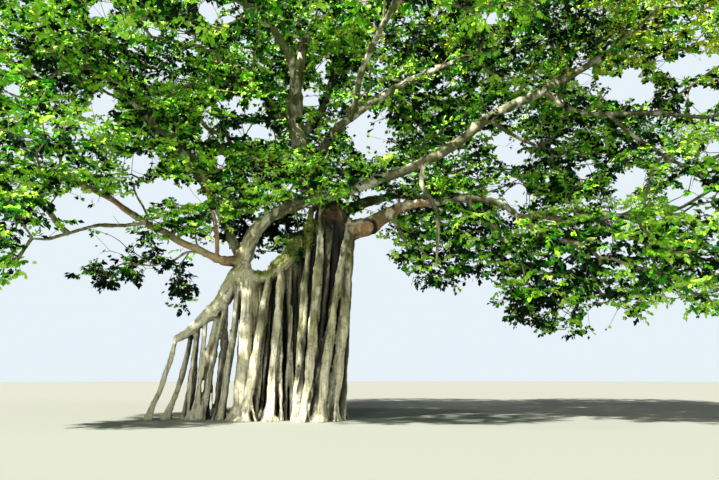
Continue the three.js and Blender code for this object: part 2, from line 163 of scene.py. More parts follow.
BRIDGE_ROOTS = {
    "bridge_root_1": ((-3.05, -0.85), (-2.42, -0.16, 5.75), (0, -0.1), (0.22, 0.13)),
    "bridge_root_2": ((-2.6, 0.12), (-2.32, 0.02, 5.7), (0.06, 0), (0.1, 0.085)),
    "bridge_root_3": ((-2.12, -0.45), (-1.9, -0.22, 6.15), (0.02, 0), (0.23, 0.16)),
    "bridge_root_4": ((-1.26, -0.05), (-1.66, -0.08, 6.35), (0.02, 0), (0.14, 0.1)),
    "bridge_root_5": ((-1.05, 0.4), (-1.08, 0.2, 7.1), (0, 0), (0.16, 0.13)),
    "bridge_dark": ((-3.35, 0.32), (-2.85, 0.1, 5.6), (0.05, 0), (0.1, 0.06)),
    "bridge_double": ((-2.72, -0.62), (-2.36, -0.12, 5.75), (-0.04, -0.02), (0.13, 0.07)),
    "bridge_slim": ((-1.72, -0.5), (-1.98, -0.2, 6.1), (0.05, 0), (0.09, 0.06)),
    "bridge_cross": ((-1.6, -0.3), (-1.52, -0.12, 6.5), (0.06, 0), (0.07, 0.06)),
    "bridge_inner": ((-1.35, 0.38), (-1.42, 0.2, 6.5), (0, 0), (0.24, 0.26)),
    "bridge_shade": ((-2.1, 0.5), (-1.75, 0.2, 6.2), (0, 0.1), (0.14, 0.12)),
    "back_root": ((-2.3, 1.05), (-2.05, 0.25, 6.3), (0, 0.12), (0.17, 0.14)),
    "back_root_inner": ((-2.85, 0.7), (-2.5, 0.15, 5.7), (0, 0.06), (0.12, 0.09)),
    "back_root_outer": ((-1.55, 1.0), (-1.3, 0.4, 7.0), (0, 0.08), (0.16, 0.13)),
    "curtain_1": ((-3.0, 0.3), (-2.72, 0.12, 5.6), (0, 0), (0.16, 0.12)),
    "curtain_2": ((-2.62, 0.42), (-2.42, 0.2, 5.7), (0, 0), (0.19, 0.15)),
    "curtain_3": ((-2.28, 0.42), (-2.1, 0.25, 6.0), (0, 0), (0.19, 0.17)),
    "curtain_4": ((-1.9, 0.42), (-1.75, 0.3, 6.4), (0, 0), (0.2, 0.18)),
    "curtain_5": ((-1.55, 0.4), (-1.4, 0.3, 6.8), (0, 0), (0.2, 0.19)),
    "curtain_6": ((-1.2, 0.3), (-1.1, 0.3, 7.2), (0, 0), (0.18, 0.18)),
    "curtain_7": ((-0.85, 0.35), (-0.62, 0.3, 7.8), (0, 0), (0.2, 0.2)),
}
TRUNK_ROOTS = {
    "trunk_root_1": ((-0.98, -0.74), (-0.66, -0.36, 8.75), (0.0, -0.04), (0.13, 0.1)),
    "trunk_root_2": ((-0.72, -1.02), (-0.18, -0.5, 9.0), (0.04, -0.08), (0.19, 0.14)),
    "flute_thin": ((-1.17, -0.72), (-0.85, -0.2, 7.3), (-0.02, -0.06), (0.09, 0.07)),
    "flute_2": ((-0.43, -0.96), (0.22, -0.42, 8.2), (0.02, 0.04), (0.12, 0.09)),
    "flute_3": ((-0.15, -1.04), (1.0, -0.27, 8.3), (-0.12, -0.1), (0.23, 0.11)),
    "flute_slim": ((-0.6, -0.9), (0.02, -0.4, 8.3), (0.02, 0.02), (0.075, 0.06)),
    "flute_slim_right": ((0.12, -0.84), (0.93, -0.3, 7.8), (0.04, 0.0), (0.08, 0.07)),
    "flute_slim_left": ((-0.9, -0.6), (-0.42, -0.3, 8.6), (0.0, 0.0), (0.08, 0.06)),
    "flute_4": ((0.34, -0.62), (0.96, -0.2, 7.9), (0.06, -0.02), (0.19, 0.2)),
    "flute_dark": ((-0.36, -0.8), (0.12, -0.3, 8.6), (0, 0), (0.12, 0.15)),
    "flute_side": ((0.58, -0.1), (0.94, 0.15, 7.8), (0.02, 0), (0.18, 0.18)),
    "flute_back_1": ((0.46, 0.55), (0.78, 0.5, 7.9), (0.06, 0.03), (0.22, 0.18)),
    "flute_back_2": ((0.05, 0.92), (0.35, 0.75, 8.6), (0.08, 0.03), (0.26, 0.2)),
    "flute_back_3": ((-0.45, 0.86), (-0.1, 0.7, 8.9), (0.1, 0.02), (0.22, 0.19)),
    "flute_back_4": ((-0.82, 0.5), (-0.4, 0.5, 8.7), (0.1, 0.03), (0.19, 0.17)),
}

# The trunks' inner columns, inside their flutes.
CORES = {
    "main_trunk": (
        [(0, 0.1, 0), (0.12, 0.15, 2.4), (0.4, 0.15, 4.8), (0.45, 0.2, 7), (0.3, 0.25, 8.3), (0.0, 0.3, 9.4)],
        [0.48, 0.4, 0.4, 0.46, 0.58, 0.5]),
    "main_trunk_front": (
        [(-0.3, -0.35, 0), (-0.1, -0.3, 2.4), (0.2, -0.2, 4.8), (0.35, -0.1, 7), (0.2, 0, 8.6)],
        [0.24, 0.18, 0.18, 0.24, 0.34]),
    "left_trunk": ([(-3.3, 0, 0), (-3.3, 0, 2.4), (-3.3, 0, 4.4), (-3.48, 0, 5.7), (-3.65, 0, 6.7)],
                   [0.34, 0.26, 0.28, 0.34, 0.34]),
}

# How much of each limb is fused with the trunks, as a share of its way.
FUSED_WITH_LEFT = {
    "strut_limb": 1, "arch_bough": 1, "left_bough": 0.3, "left_upper_bough": 0.3, "left_upright_branch": 0.1,
    "low_twig": 0.1,
}
FUSED_WITH_MAIN = {
    "bridge_limb": 1, "right_bough": 1, "leader": 0.35, "long_bough": 0.25, "back_left_bough": 0.25,
    "back_right_bough": 0.25, "upper_right_bough": 0.12,
}
LIMB_OVERLAP = 0.06

# The bark's knots and ridges stand out from the limbs, so their tubes are a little slimmer than the solids.
LIMB_SLIMMER = 0.93
THICK_LIMB = 0.15
KINK = 0.07
KNOT_SPACING = 1.1

# The fused bark: its grid, how much of its mesh is kept, and the flare at the foot of each root.
VOXEL = 0.038
KEPT_FACES = 0.3
FLARE_HEIGHT = 0.7
FLARE = 0.65

# Roots with more than these radii have toes, or may have thin roots on them. The numbers of thin roots are
# for the left, the bridge and the trunk roots.
ROOT_WITH_TOES = 0.155
TOES = 5
STOUT_ROOT = 0.12
THIN_ROOTS = (9, 9, 20)
THIN_ROOT_RADIUS = (0.032, 0.05)

# The bark's relief: the height of each noise, the width of its bumps, and its seed.
RELIEF = ((0.024, (0.15, 0.15, 0.9), 1), (0.018, (0.085, 0.085, 0.3), 2), (0.012, 0.1, 3))
BOUGH_RELIEF = (0.012, 0.12, 5)

# The marks that each vertex of the bark has: painted shade, moss and rust.
PAINTED_SHADE, MOSS, RUST = range(3)

# How far the bark looks for a wall in front of it when its hollows get painted shade.
HOLLOW_REACH = 0.75
HOLLOW_RAYS = 12

# The rusty hollow under the trunk's fork, darkened with painted shade: middle and half size. The ringed knot
# on the right bough.
FORK_HOLLOW = ((0.12, -0.62, 8.15), (0.42, 0.6, 0.6))
FORK_HOLLOW_DEPTH = 0.3
KNOT = (1.72, -0.45, 7.85)
KNOT_RADIUS = 0.34
KNOT_HEIGHT = 0.07
KNOT_RING_DEPTH = 0.09

# Painted shade on the insides between the front and the back roots: middle and half size.
INSIDE_SHADE = (
    ((-2.05, 0.28, 2.8), (1.4, 0.34, 4.6)),
    ((-0.7, 0.0, 4.0), (0.55, 0.5, 4.6)),
    ((0.25, -0.28, 4.0), (0.8, 0.3, 5.2)),
    ((-4.75, 0.25, 2.0), (0.6, 0.2, 2.6)),
    ((-1.5, 0.2, 4.8), (0.4, 0.34, 1.9)),
)

# Where the fork is rusty, and where painted light makes the leader pale: middle and half size.
FORK_RUST = ((0.25, -0.5, 8.4), (0.45, 0.7, 0.5))
LIT_LEADER = ((-1.6, 1, 13.4), (0.8, 1.0, 3.6))

# Where moss grows: middle, half size and strength. Limbs with rusty bark: strength.
MOSS_PATCHES = (
    ((-1.3, -0.2, 7.0), (0.75, 0.7, 0.6), 0.95),
    ((-0.75, -0.4, 7.6), (0.5, 0.6, 1.1), 0.95),
    ((-0.25, -0.5, 8.6), (0.6, 0.6, 0.8), 0.5),
    ((-2.5, 0, 5.95), (0.8, 0.5, 0.25), 0.9),
    ((-2.0, -0.15, 6.35), (0.7, 0.6, 0.45), 0.85),
    ((-3.6, -0.2, 7.1), (0.5, 0.6, 0.9), 0.35),
)
RUSTY_LIMBS = {"left_bough": 0.5, "left_upright_branch": 1.0, "right_bough": 0.45}
MOSS_TUFTS = 2400
MOSS_BLADES = 4
BLADE_LENGTH = (0.04, 0.11)
BLADE_HALF_WIDTH = 0.014

# Twigs: limbs that bear none, the fork that the way back leads to, and what a turn and that way add to their
# cost. A twig's radius is TWIG_RADIUS times a power of the number of twig ends beyond it.
WITHOUT_TWIGS = ("bridge_limb", "strut_limb", "hanging_root")
FORK = (0, 0, 9)
TURN_COST = 0.45
WAY_COST = 0.12
TWIG_RADIUS = 0.0095
TWIG_POWER = 0.42
STEM_HALF_WIDTH = 0.006

# Leaves and sprays. LEAF_SHAPE is a leaf's width as a share of its length.
LEAF_LENGTH = 0.185
LEAF_SHAPE = 0.66
LEAVES_ON_TWIGLET = 8
TWIGLETS = 3
TWIGLET_LENGTH = (0.36, 0.56)
SPRAY_KINDS = 16
TO_THE_SUN = np.array([-0.22, -0.25, 0.3])

# The outline and the faces of a leaf: share of its length, share of its half width, and how far it rises.
SUN_LEAF = (
    ((0, 0, 0), (0.3, 0.95, 0.1), (0.68, 0.8, 0.06), (1, 0, -0.12), (0.68, -0.8, 0.06), (0.3, -0.95, 0.1)),
    ((0, 2, 1), (0, 3, 2), (0, 4, 3), (0, 5, 4)))
SHADE_LEAF = (((0, 0, 0), (0.45, 1, 0.1), (1, 0, -0.1), (0.45, -1, 0.1)), ((0, 2, 1), (0, 3, 2)))

# How far leaves reach beyond the box of the solids.
LEAF_REACH = 0.3

# Leaves nearer to the camera than this don't hang into its view, or into a margin of pixels round it.
NEAREST_LEAF = 17.0
NEAR_MARGIN = 6

# Distance between twig ends in a mass, and the size of its leaves. The first row is for masses not named.
MASS_FILL = {
    "": (0.63, 1.0), "crown_top": (0.88, 1.2), "crown_front_left": (0.8, 1.2),
    "crown_front_right": (0.8, 1.2), "crown_back_left": (0.88, 1.2), "crown_back_right": (0.88, 1.2),
    "trunk_top_foliage": (0.6, 0.95), "fork_foliage": (0.52, 0.95), "left_low_foliage": (0.58, 1.0),
    "crown_left_tip": (0.58, 1.0),
}

# The noise that gathers leaves in clumps, as its width and seed, and the value below which a mass stays open.
CLUMPS = ((2.2, 2.2, 1.1), 11)
OPENNESS = {"": -0.62, "trunk_top_foliage": -0.15, "fork_foliage": -0.3}

# How far ends stand outside a mass. Deeper in it than THIN_DEPTH only a share of them grow. Leaf sizes deep
# in a mass, between and beyond the masses, and in tufts and in front of limbs, and the largest of all.
OUTSIDE_MASS = 0.22
THIN_DEPTH = 0.8
THIN_SHARE = 0.3
INNER_LEAF = 1.2
OUTER_LEAF = 1.2
TUFT_LEAF = 0.95
LARGEST_LEAF = 1.42

# Leaves between and beyond the front masses and the back masses: middle, half size, and number of sprays.
CROWN_FILL = (
    ((0.2, -6.2, 17.0), (3.4, 4.6, 1.6), 120), ((2.1, 8.0, 16.4), (2.4, 5.5, 2.4), 90),
    ((-4.2, -3.2, 17.6), (2.8, 2.2, 1.0), 70), ((6.4, -3.9, 17.6), (3.2, 2.0, 1.0), 80),
    ((-8.6, -4.6, 16.6), (2.5, 1.8, 1.2), 50), ((11.4, -7.4, 16.0), (2.2, 1.8, 1.2), 40),
    ((-5.5, -11.0, 13.7), (5.0, 2.2, 1.1), 70), ((6.0, -11.0, 14.0), (5.0, 2.2, 1.1), 70),
    ((-6.5, 9.5, 12.0), (5.5, 4.0, 1.5), 80), ((8.0, 9.5, 10.6), (5.5, 4.5, 1.5), 80),
)

# Where some of the sunlit leaves are golden: middle, half size and share.
GOLDEN_PLACES = (
    ((14.5, -2.5, 16.5), (7.5, 7, 3.5), 0.45),
    ((5, -2, 18), (6, 5, 3), 0.25),
    ((-15, -3, 15.5), (5, 6, 3), 0.3),
)

# Leaves that stand between the masses in the photo: left, top, right and bottom in its pixels, nearest and
# farthest y, the number of sprays, and how much painted light they get.
TUFTS = {
    "trunk top": (258, 146, 350, 203, -1.9, -0.9, 55, 0.08),
    "behind the trunk top": (236, 140, 380, 206, -0.6, 1.2, 80, -0.45),
    "trunk top right": (335, 150, 392, 186, -1.8, -1.0, 22, 0.06),
    "right of the leader, high": (334, 0, 404, 112, -0.8, 2.2, 90, 0.06),
    "bridge ferns": (290, 232, 312, 262, -0.9, -0.7, 3, -0.2),
    "over the left fork": (168, 150, 262, 203, -1.2, 0.9, 62, 0.04),
    "left of the upright": (150, 200, 214, 240, -1.3, -0.3, 26, 0.16),
    "inside the left fork": (224, 205, 250, 238, 0.3, 1.4, 10, -0.2),
    "behind the arch": (222, 198, 300, 240, 1.0, 2.4, 90, -0.2),
    "over the bridge": (258, 222, 302, 256, 0.6, 1.6, 30, -0.06),
    "hanging tuft": (168, 262, 194, 308, -0.3, 0.5, 20, -0.42),
    "hanging tuft top": (184, 246, 206, 262, -0.2, 0.3, 4, -0.3),
    "along the left bough": (92, 132, 142, 196, -1.4, 0.5, 36, 0.06),
    "right of the leader": (318, 84, 352, 150, -0.5, 2.0, 34, -0.02),
    "under the leader": (352, 156, 402, 196, -0.2, 1.8, 30, -0.1),
    "under the long bough": (396, 150, 500, 205, -0.6, 2.4, 60, -0.12),
    "beside the hanging root": (384, 214, 430, 262, -0.2, 2.4, 22, -0.2),
    "over the right bough": (340, 160, 402, 190, 0.6, 2.2, 44, -0.2),
    "left of the right far gaps": (560, 176, 616, 222, -1.0, 2.4, 54, -0.05),
    "between the right far gaps": (640, 150, 668, 200, -2.2, 1.0, 26, 0.05),
    "over the right far gaps": (606, 130, 719, 168, -2.4, 0.6, 60, 0.05),
    "left of the high gap": (560, 48, 608, 110, -2.2, 1.8, 60, 0.08),
    "under the high gap": (590, 96, 690, 124, -2.6, -0.4, 34, 0.08),
    "top right of the leader": (374, 0, 444, 60, -0.8, 2.4, 60, 0.0),
    "under the left patch": (118, 168, 150, 196, -1.2, 0.2, 16, 0.05),
    "behind the right bough": (346, 203, 396, 217, 0.7, 1.8, 16, -0.2),
    "in the fork": (206, 148, 240, 178, -0.8, 1.0, 26, 0.0),
}

# Leaves in front of limbs: the stretch of the limb, as shares of its way, and the number of sprays. They
# stand between two offsets from the limb.
FRONT_LEAVES = {
    "left_upper_bough": (0.3, 1.0, 90), "leader": (0.45, 1.0, 40), "inner_bough": (0.1, 1.0, 70),
    "upper_right_bough": (0.35, 1.0, 40), "long_bough": (0.35, 1.0, 30), "left_bough": (0.25, 0.95, 26),
    "right_bough_outer": (0.1, 1.0, 18), "right_side_branch": (0.2, 0.9, 12),
    "left_upright_branch": (0.4, 1, 18), "right_bough": (0.6, 1.0, 6),
}
IN_FRONT = ((-0.7, -1.5, -0.6), (0.7, -0.35, 0.7))

# Sky that shows through the crown in the photo: left, top, right, bottom in the photo's pixels. Twig ends may
# stand a margin of pixels inside it.
GAP_MARGIN = 4
SKY_GAPS = {
    "left band": (22, 226, 134, 264),
    "left upper band": (42, 190, 96, 224),
    "left upper band right": (94, 203, 142, 222),
    "under the low foliage": (20, 288, 134, 335),
    "under the left bough": (140, 262, 168, 318),
    "beside the left trunk": (197, 246, 226, 318),
    "over the left bough": (130, 180, 206, 207),
    "left upper patch": (120, 147, 158, 177),
    "left high patch": (92, 90, 117, 117),
    "far left patch": (2, 82, 27, 101),
    "top left patch": (193, 0, 241, 23),
    "top left corner": (86, 0, 116, 20),
    "top left speck": (148, 28, 161, 41),
    "second top left speck": (174, 30, 198, 42),
    "beside the leader": (236, 125, 280, 143),
    "over the fork": (198, 110, 212, 137),
    "under the fork patch": (215, 156, 226, 170),
    "leader speck": (300, 86, 320, 110),
    "right of the trunk": (349, 234, 402, 340),
    "over the right bough": (346, 108, 393, 157),
    "beside the right bough": (359, 189, 381, 211),
    "right middle": (495, 138, 536, 167),
    "right under": (490, 178, 534, 208),
    "right small": (574, 160, 593, 180),
    "right far low": (616, 168, 648, 190),
    "right far edge": (668, 176, 706, 210),
    "right high": (601, 68, 662, 100),
    "right high edge": (660, 52, 724, 80),
    "right high corner": (682, 84, 724, 116),
    "right edge low": (702, 138, 724, 158),
    "top right patch": (480, 13, 507, 25),
    "top far right patch": (574, 58, 592, 84),
    "small low patch": (462, 276, 480, 291),
    "lowest patch": (582, 302, 623, 345),
    "left of the lowest patch": (556, 308, 572, 336),
    "under the arch": (255, 250, 292, 268),
    "trunk window": (268, 282, 281, 296),
}

# Where sky shows in specks: left, top, right, bottom in the photo's pixels, and from -1, none, to 1, all sky.
SPECKLED = {
    "left of the leader": (186, 86, 288, 150, -0.4),
    "right of the leader": (298, 54, 334, 122, -0.1),
    "under the left tip": (20, 250, 88, 292, 0.5),
}

# Stretches of limbs that show clear of leaves in the photo, as shares of their way, and how clear they are.
BARE_STRETCHES = {
    "arch_bough": (0.05, 0.72, 0.95), "leader": (0.42, 0.85, 0.72), "right_bough": (0, 1, 0.95),
    "long_bough": (0.3, 0.92, 0.75), "left_bough": (0, 0.75, 0.72), "left_upper_bough": (0.3, 0.85, 0.2),
    "upper_right_bough": (0.3, 0.85, 0.5), "right_side_branch": (0.05, 0.95, 0.8),
    "right_bough_outer": (0.25, 0.8, 0.72), "left_upright_branch": (0, 0.4, 0.95),
    "hanging_root": (0.05, 1, 0.9), "right_hanging_branch": (0.1, 0.85, 0.75), "low_twig": (0, 0.4, 0.7),
    "lower_left_branch": (0, 0.8, 0.8), "strut_limb": (0, 1, 1), "bridge_limb": (0, 1, 0.7),
}

# Leaf tints as painted light and shade, darker and lighter greens that stand for shade and sun: base colour,
# the light below which it is dealt, and the leaves' size. Golden leaves are dealt by place instead. The first
# few tints are of leaves in the shade, with fewer faces.
TINTS = {
    "leaves_black_green": ((0.002, 0.014, 0.003), 0.2, 1.3),
    "leaves_shade": ((0.004, 0.044, 0.005), 0.32, 1.2),
    "leaves_deep": ((0.01, 0.11, 0.008), 0.43, 1.1),
    "leaves_green": ((0.028, 0.25, 0.013), 0.53, 1.0),
    "leaves_fresh": ((0.09, 0.43, 0.014), 0.63, 1.0),
    "leaves_bright": ((0.2, 0.63, 0.02), 0.74, 0.95),
    "leaves_yellow_green": ((0.36, 0.82, 0.035), 0.92, 0.95),
    "leaves_lime": ((0.46, 0.88, 0.07), 1.16, 0.95),
    "leaves_sunlit": ((0.56, 0.9, 0.11), 9.0, 0.95),
    "leaves_golden": ((0.52, 0.6, 0.02), 9.0, 0.95),
}
DEEP_TINTS = 4

# What an even light comes to, and how far others are spread from it.
LIGHT_MIDDLE = 0.57
LIGHT_CONTRAST = 1.9

# How much painted light each mass gets, as how much lighter its leaf tints are.
BRIGHTER = {
    "crown_left": 0.16, "crown_left_tip": 0.16, "crown_left_top": 0.22, "crown_upper_left": 0.12,
    "crown_centre_top": 0.14, "crown_upper_right": 0.16, "crown_right_top": 0.26, "right_edge": 0.14,
    "trunk_top_foliage": -0.12, "fork_foliage": 0.08, "crown_top": 0.1, "right_droop": -0.1,
    "crown_right_low": -0.02, "crown_centre_left": -0.1, "crown_inner_left": -0.06, "left_low_foliage": -0.2,
    "crown_right_mid": 0.02, "crown_mid_right": -0.02, "right_branch_foliage": 0.02,
    "crown_back_left": -0.06, "crown_back_right": -0.06,
}


def smooth_route(route, spacing):
    """Points about a spacing apart on a smooth curve through a route, and each point's share of the way."""
    p = np.array(route, float)
    p = np.vstack([2 * p[0] - p[1], p, 2 * p[-1] - p[-2]])
    knots = np.concatenate([[0], np.cumsum(np.linalg.norm(np.diff(p, axis=0), axis=1) ** 0.5)])
    points, shares = [], []
    for i in range(1, len(p) - 2):
        count = max(1, round(float(np.linalg.norm(p[i + 1] - p[i])) / spacing))
        steps = np.arange(count + (i == len(p) - 3)) / count
        t = (knots[i] + (knots[i + 1] - knots[i]) * steps)[:, None]

        def blend(a, b, ta, tb):
            return (a * (tb - t) + b * (t - ta)) / (tb - ta)

        k0, k1, k2, k3 = knots[i - 1:i + 3]
        first = blend(p[i - 1], p[i], k0, k1)
        second = blend(p[i], p[i + 1], k1, k2)
        third = blend(p[i + 1], p[i + 2], k2, k3)
        points.append(blend(blend(first, second, k0, k2), blend(second, third, k1, k3), k1, k2))
        shares.append((i - 1 + steps) / (len(p) - 3))
    return np.vstack(points), np.concatenate(shares)


def way_along(points):
    """How far along a route each of its points lies."""
    return np.concatenate([[0], np.cumsum(np.linalg.norm(np.diff(points, axis=0), axis=1))])


def spread(values, shares):
    """The values spread evenly over the way, read at each share."""
    return np.interp(shares, np.linspace(0, 1, len(values)), values)


def rise(values, begin, end):
    """From 0 at begin to 1 at end."""
    return np.clip((values - begin) / (end - begin), 0, 1)


def unit(vectors):
    return vectors / np.maximum(np.linalg.norm(vectors, axis=-1, keepdims=True), 1e-9)


def smooth_noise(points, width, seed):
    """Even noise from -1 to 1 whose bumps are about a width across, given once or for each axis."""
    scaled = points / np.asarray(width, float)
    cell = np.floor(scaled).astype(np.int64)
    inside = scaled - cell
    inside = inside * inside * (3 - 2 * inside)
    total = np.zeros(len(points))
    for corner in itertools.product((0, 1), repeat=3):
        at = cell + corner
        mixed = (at[:, 0] * 73856093) ^ (at[:, 1] * 19349663) ^ (at[:, 2] * 83492791) ^ (seed * 40503)
        mixed = ((mixed ^ (mixed >> 13)) * 1274126177) & 0x7FFFFFFF
        value = ((mixed ^ (mixed >> 16)) & 0xFFFF) / 32767.5 - 1
        total += value * np.prod(np.where(corner, inside, 1 - inside), axis=1)
    return total


def uneven(points, width, rng):
    """Smooth noise with a seed that is drawn for it."""
    return smooth_noise(points, width, int(rng.integers(1000)))


def side_frames(points):
    """Two unit vectors across the way at each point, turned as little as possible from one to the next."""
    along = unit(np.gradient(points, axis=0))
    start = np.array([0, 0, 1.0]) if abs(along[0][2]) < 0.8 else np.array([0, 1.0, 0])
    across = np.empty_like(points)
    for i, tangent in enumerate(along):
        start = start - tangent * start.dot(tangent)
        start /= np.linalg.norm(start)
        across[i] = start
    return across, np.cross(along, across)


def tube(points, radii, sides, ridges=0.0, rng=None, closed=True):
    """Vertices and faces of a tube along points. Ridges is how far its lengthwise ridges stand out."""
    first, second = side_frames(points)
    angle = np.arange(sides) * 2 * math.pi / sides
    shape = np.ones((len(points), sides))
    if ridges:
        way = way_along(points)[:, None]
        for lobes in (2, 3, 5):
            start, twist = rng.uniform(0, 6.28), rng.uniform(-0.35, 0.35)
            shape += ridges / lobes ** 0.4 * np.sin(lobes * angle + start + twist * way)
        shape += ridges * 0.5 * np.sin(way * rng.uniform(2, 3.5) + rng.uniform(0, 6.28))
    reach = np.asarray(radii)[:, None] * shape
    ring = (points[:, None] + (reach * np.cos(angle))[..., None] * first[:, None]
            + (reach * np.sin(angle))[..., None] * second[:, None])
    row = np.arange(len(points) - 1)[:, None] * sides
    a = row + np.arange(sides)
    b = row + (np.arange(sides) + 1) % sides
    faces = [tuple(face) for face in np.stack([a, b, b + sides, a + sides], -1).reshape(-1, 4)]
    if closed:
        last = (len(points) - 1) * sides
        faces.append(tuple(range(sides - 1, -1, -1)))
        faces.append(tuple(range(last, last + sides)))
    return ring.reshape(-1, 3), faces


def joined(parts):
    """One list of vertices and faces from several."""
    verts, faces, start = [], [], 0
    for v, f in parts:
        verts.append(v)
        faces += [tuple(i + start for i in face) for face in f]
        start += len(v)
    return np.vstack(verts), faces


def link(name, data):
    """A new object in the scene."""
    obj = bpy.data.objects.new(name, data)
    bpy.context.scene.collection.objects.link(obj)
    return obj


def new_object(name, verts, faces):
    mesh = bpy.data.meshes.new(name)
    mesh.from_pydata(np.asarray(verts).tolist(), [], faces)
    mesh.update()
    return link(name, mesh)


def surface(mesh):
    """The place of each vertex of a mesh, and the way out from it."""
    values = np.empty((2, len(mesh.vertices) * 3), np.float32)
    mesh.vertices.foreach_get("co", values[0])
    mesh.vertices.foreach_get("normal", values[1])
    return values.reshape(2, -1, 3).astype(float)


def shade_smooth(mesh):
    mesh.polygons.foreach_set("use_smooth", np.ones(len(mesh.polygons), bool))


def move_vertices(mesh, place):
    mesh.vertices.foreach_set("co", place.astype(np.float32).ravel())
    shade_smooth(mesh)
    mesh.update()


def add_attribute(mesh, name, values):
    """A number or a vector at each vertex, which the materials read."""
    kind, field = ("FLOAT", "value") if values.ndim == 1 else ("FLOAT_VECTOR", "vector")
    mesh.attributes.new(name, kind, "POINT").data.foreach_set(field, values.astype(np.float32).ravel())


def use_modifiers(obj):
    """Applies the modifiers of an object to its mesh."""
    depsgraph = bpy.context.evaluated_depsgraph_get()
    mesh = bpy.data.meshes.new_from_object(obj.evaluated_get(depsgraph))
    mesh.validate()
    obj.modifiers.clear()
    obj.data = mesh
    return mesh


def within(place, middle, half):
    """From 1 in the middle of an egg-shaped region to 0 at its edge and beyond."""
    away = (place - np.array(middle)) / np.array(half)
    return np.clip(1 - (away ** 2).sum(1), 0, 1)


def knot_distance(place):
    """How many of the knot's radii each place is from its middle, seen from the front."""
    return np.linalg.norm((place - np.array(KNOT))[:, [0, 2]], axis=1) / KNOT_RADIUS


def knot_side(place):
    """1 on the outer and upper side of the knot, where its ring is deep, and 0 on the other."""
    aside = (place[:, 0] - KNOT[0]) / KNOT_RADIUS + 0.5 * (place[:, 2] - KNOT[2]) / KNOT_RADIUS
    return np.clip(0.5 + aside, 0, 1)


def carve(place, outward):
    """Pushes in the hollow under the fork, and shapes the ringed knot on the right bough."""
    place[:, 1] += FORK_HOLLOW_DEPTH * within(place, *FORK_HOLLOW) ** 1.5
    around = knot_distance(place)
    facing = np.clip(-outward[:, 1], 0, 1) * (place[:, 1] < 0.1)
    swelling = KNOT_HEIGHT * np.clip(1 - (around / 0.8) ** 2, 0, 1)
    swelling -= KNOT_RING_DEPTH * np.exp(-((around - 0.98) / 0.22) ** 2) * knot_side(place)
    place[:, 1] -= facing * swelling


def fused(name, parts):
    """The parts fused into one skin with the bark's relief, cut flat at the ground."""
    obj = new_object(name, *joined(parts))
    remesh = obj.modifiers.new("fuse", "REMESH")
    remesh.mode = "VOXEL"
    remesh.voxel_size = VOXEL
    smooth = obj.modifiers.new("smooth", "SMOOTH")
    smooth.factor = 0.5
    smooth.iterations = 1
    mesh = use_modifiers(obj)
    place, outward = surface(mesh)
    relief = sum(height * smooth_noise(place, width, seed) for height, width, seed in RELIEF)
    place += outward * relief[:, None]
    carve(place, outward)
    place[:, 2] = np.maximum(place[:, 2], 0)
    move_vertices(mesh, place)
    decimate = obj.modifiers.new("thin", "DECIMATE")
    decimate.ratio = KEPT_FACES
    shade_smooth(use_modifiers(obj))
    return obj


def root_route(foot, head, bow):
    middle = [(foot[k] + head[k]) / 2 + bow[k] for k in (0, 1)] + [head[2] / 2]
    return smooth_route([[foot[0], foot[1], -0.12], [*foot, 0.02], middle, head], 0.14)[0]


def root_tube(foot, head, bow, radii, rng):
    """A pillar root from the ground to its head, wider at its foot."""
    points = root_route(foot, head, bow)
    points[:, 0] += 0.035 * uneven(points, 0.9, rng)
    size = np.interp(points[:, 2], [0, head[2]], radii)
    size = size * (1 + FLARE * np.clip(1 - points[:, 2] / FLARE_HEIGHT, 0, 1) ** 2)
    size *= 1 + 0.14 * uneven(points, 0.6, rng)
    return tube(points, size, 12, 0.13, rng)


def thin_root(foot, head, bow, radii, rng):
    """A thin root that winds down a pillar root."""
    points = root_route(foot, head, bow)
    top = head[2] * rng.uniform(0.55, 1)
    points = points[points[:, 2] < top]
    reach = np.interp(points[:, 2], [0, head[2]], radii) * rng.uniform(0.95, 1.25)
    turn = rng.uniform(math.pi, 2 * math.pi) + 1.3 * uneven(points * [0, 0, 1], 2.2, rng)
    points[:, 0] += np.cos(turn) * reach
    points[:, 1] += np.sin(turn) * reach
    size = rng.uniform(*THIN_ROOT_RADIUS) * (1 + 0.2 * uneven(points, 0.4, rng))
    return tube(points, size, 7)


def toe_tubes(foot, head, bow, radius, rng):
    """Short root toes that spread from the foot of a pillar root."""
    route = root_route(foot, head, bow)
    toes = []
    for _ in range(TOES):
        turn = rng.uniform(0, 2 * math.pi)
        out = np.array([math.cos(turn), math.sin(turn), 0])
        start = route[np.argmin(np.abs(route[:, 2] - rng.uniform(0.4, 1.2)))] + out * radius * 0.35
        end = np.array([foot[0], foot[1], -0.05]) + out * radius * rng.uniform(1.6, 2.7)
        middle = (start + end) / 2 - out * radius * 0.4
        points, shares = smooth_route([start, middle, end], 0.1)
        toes.append(tube(points, spread([radius * 0.25, radius * 0.32, radius * 0.28], shares), 8, 0.1, rng))
    return toes


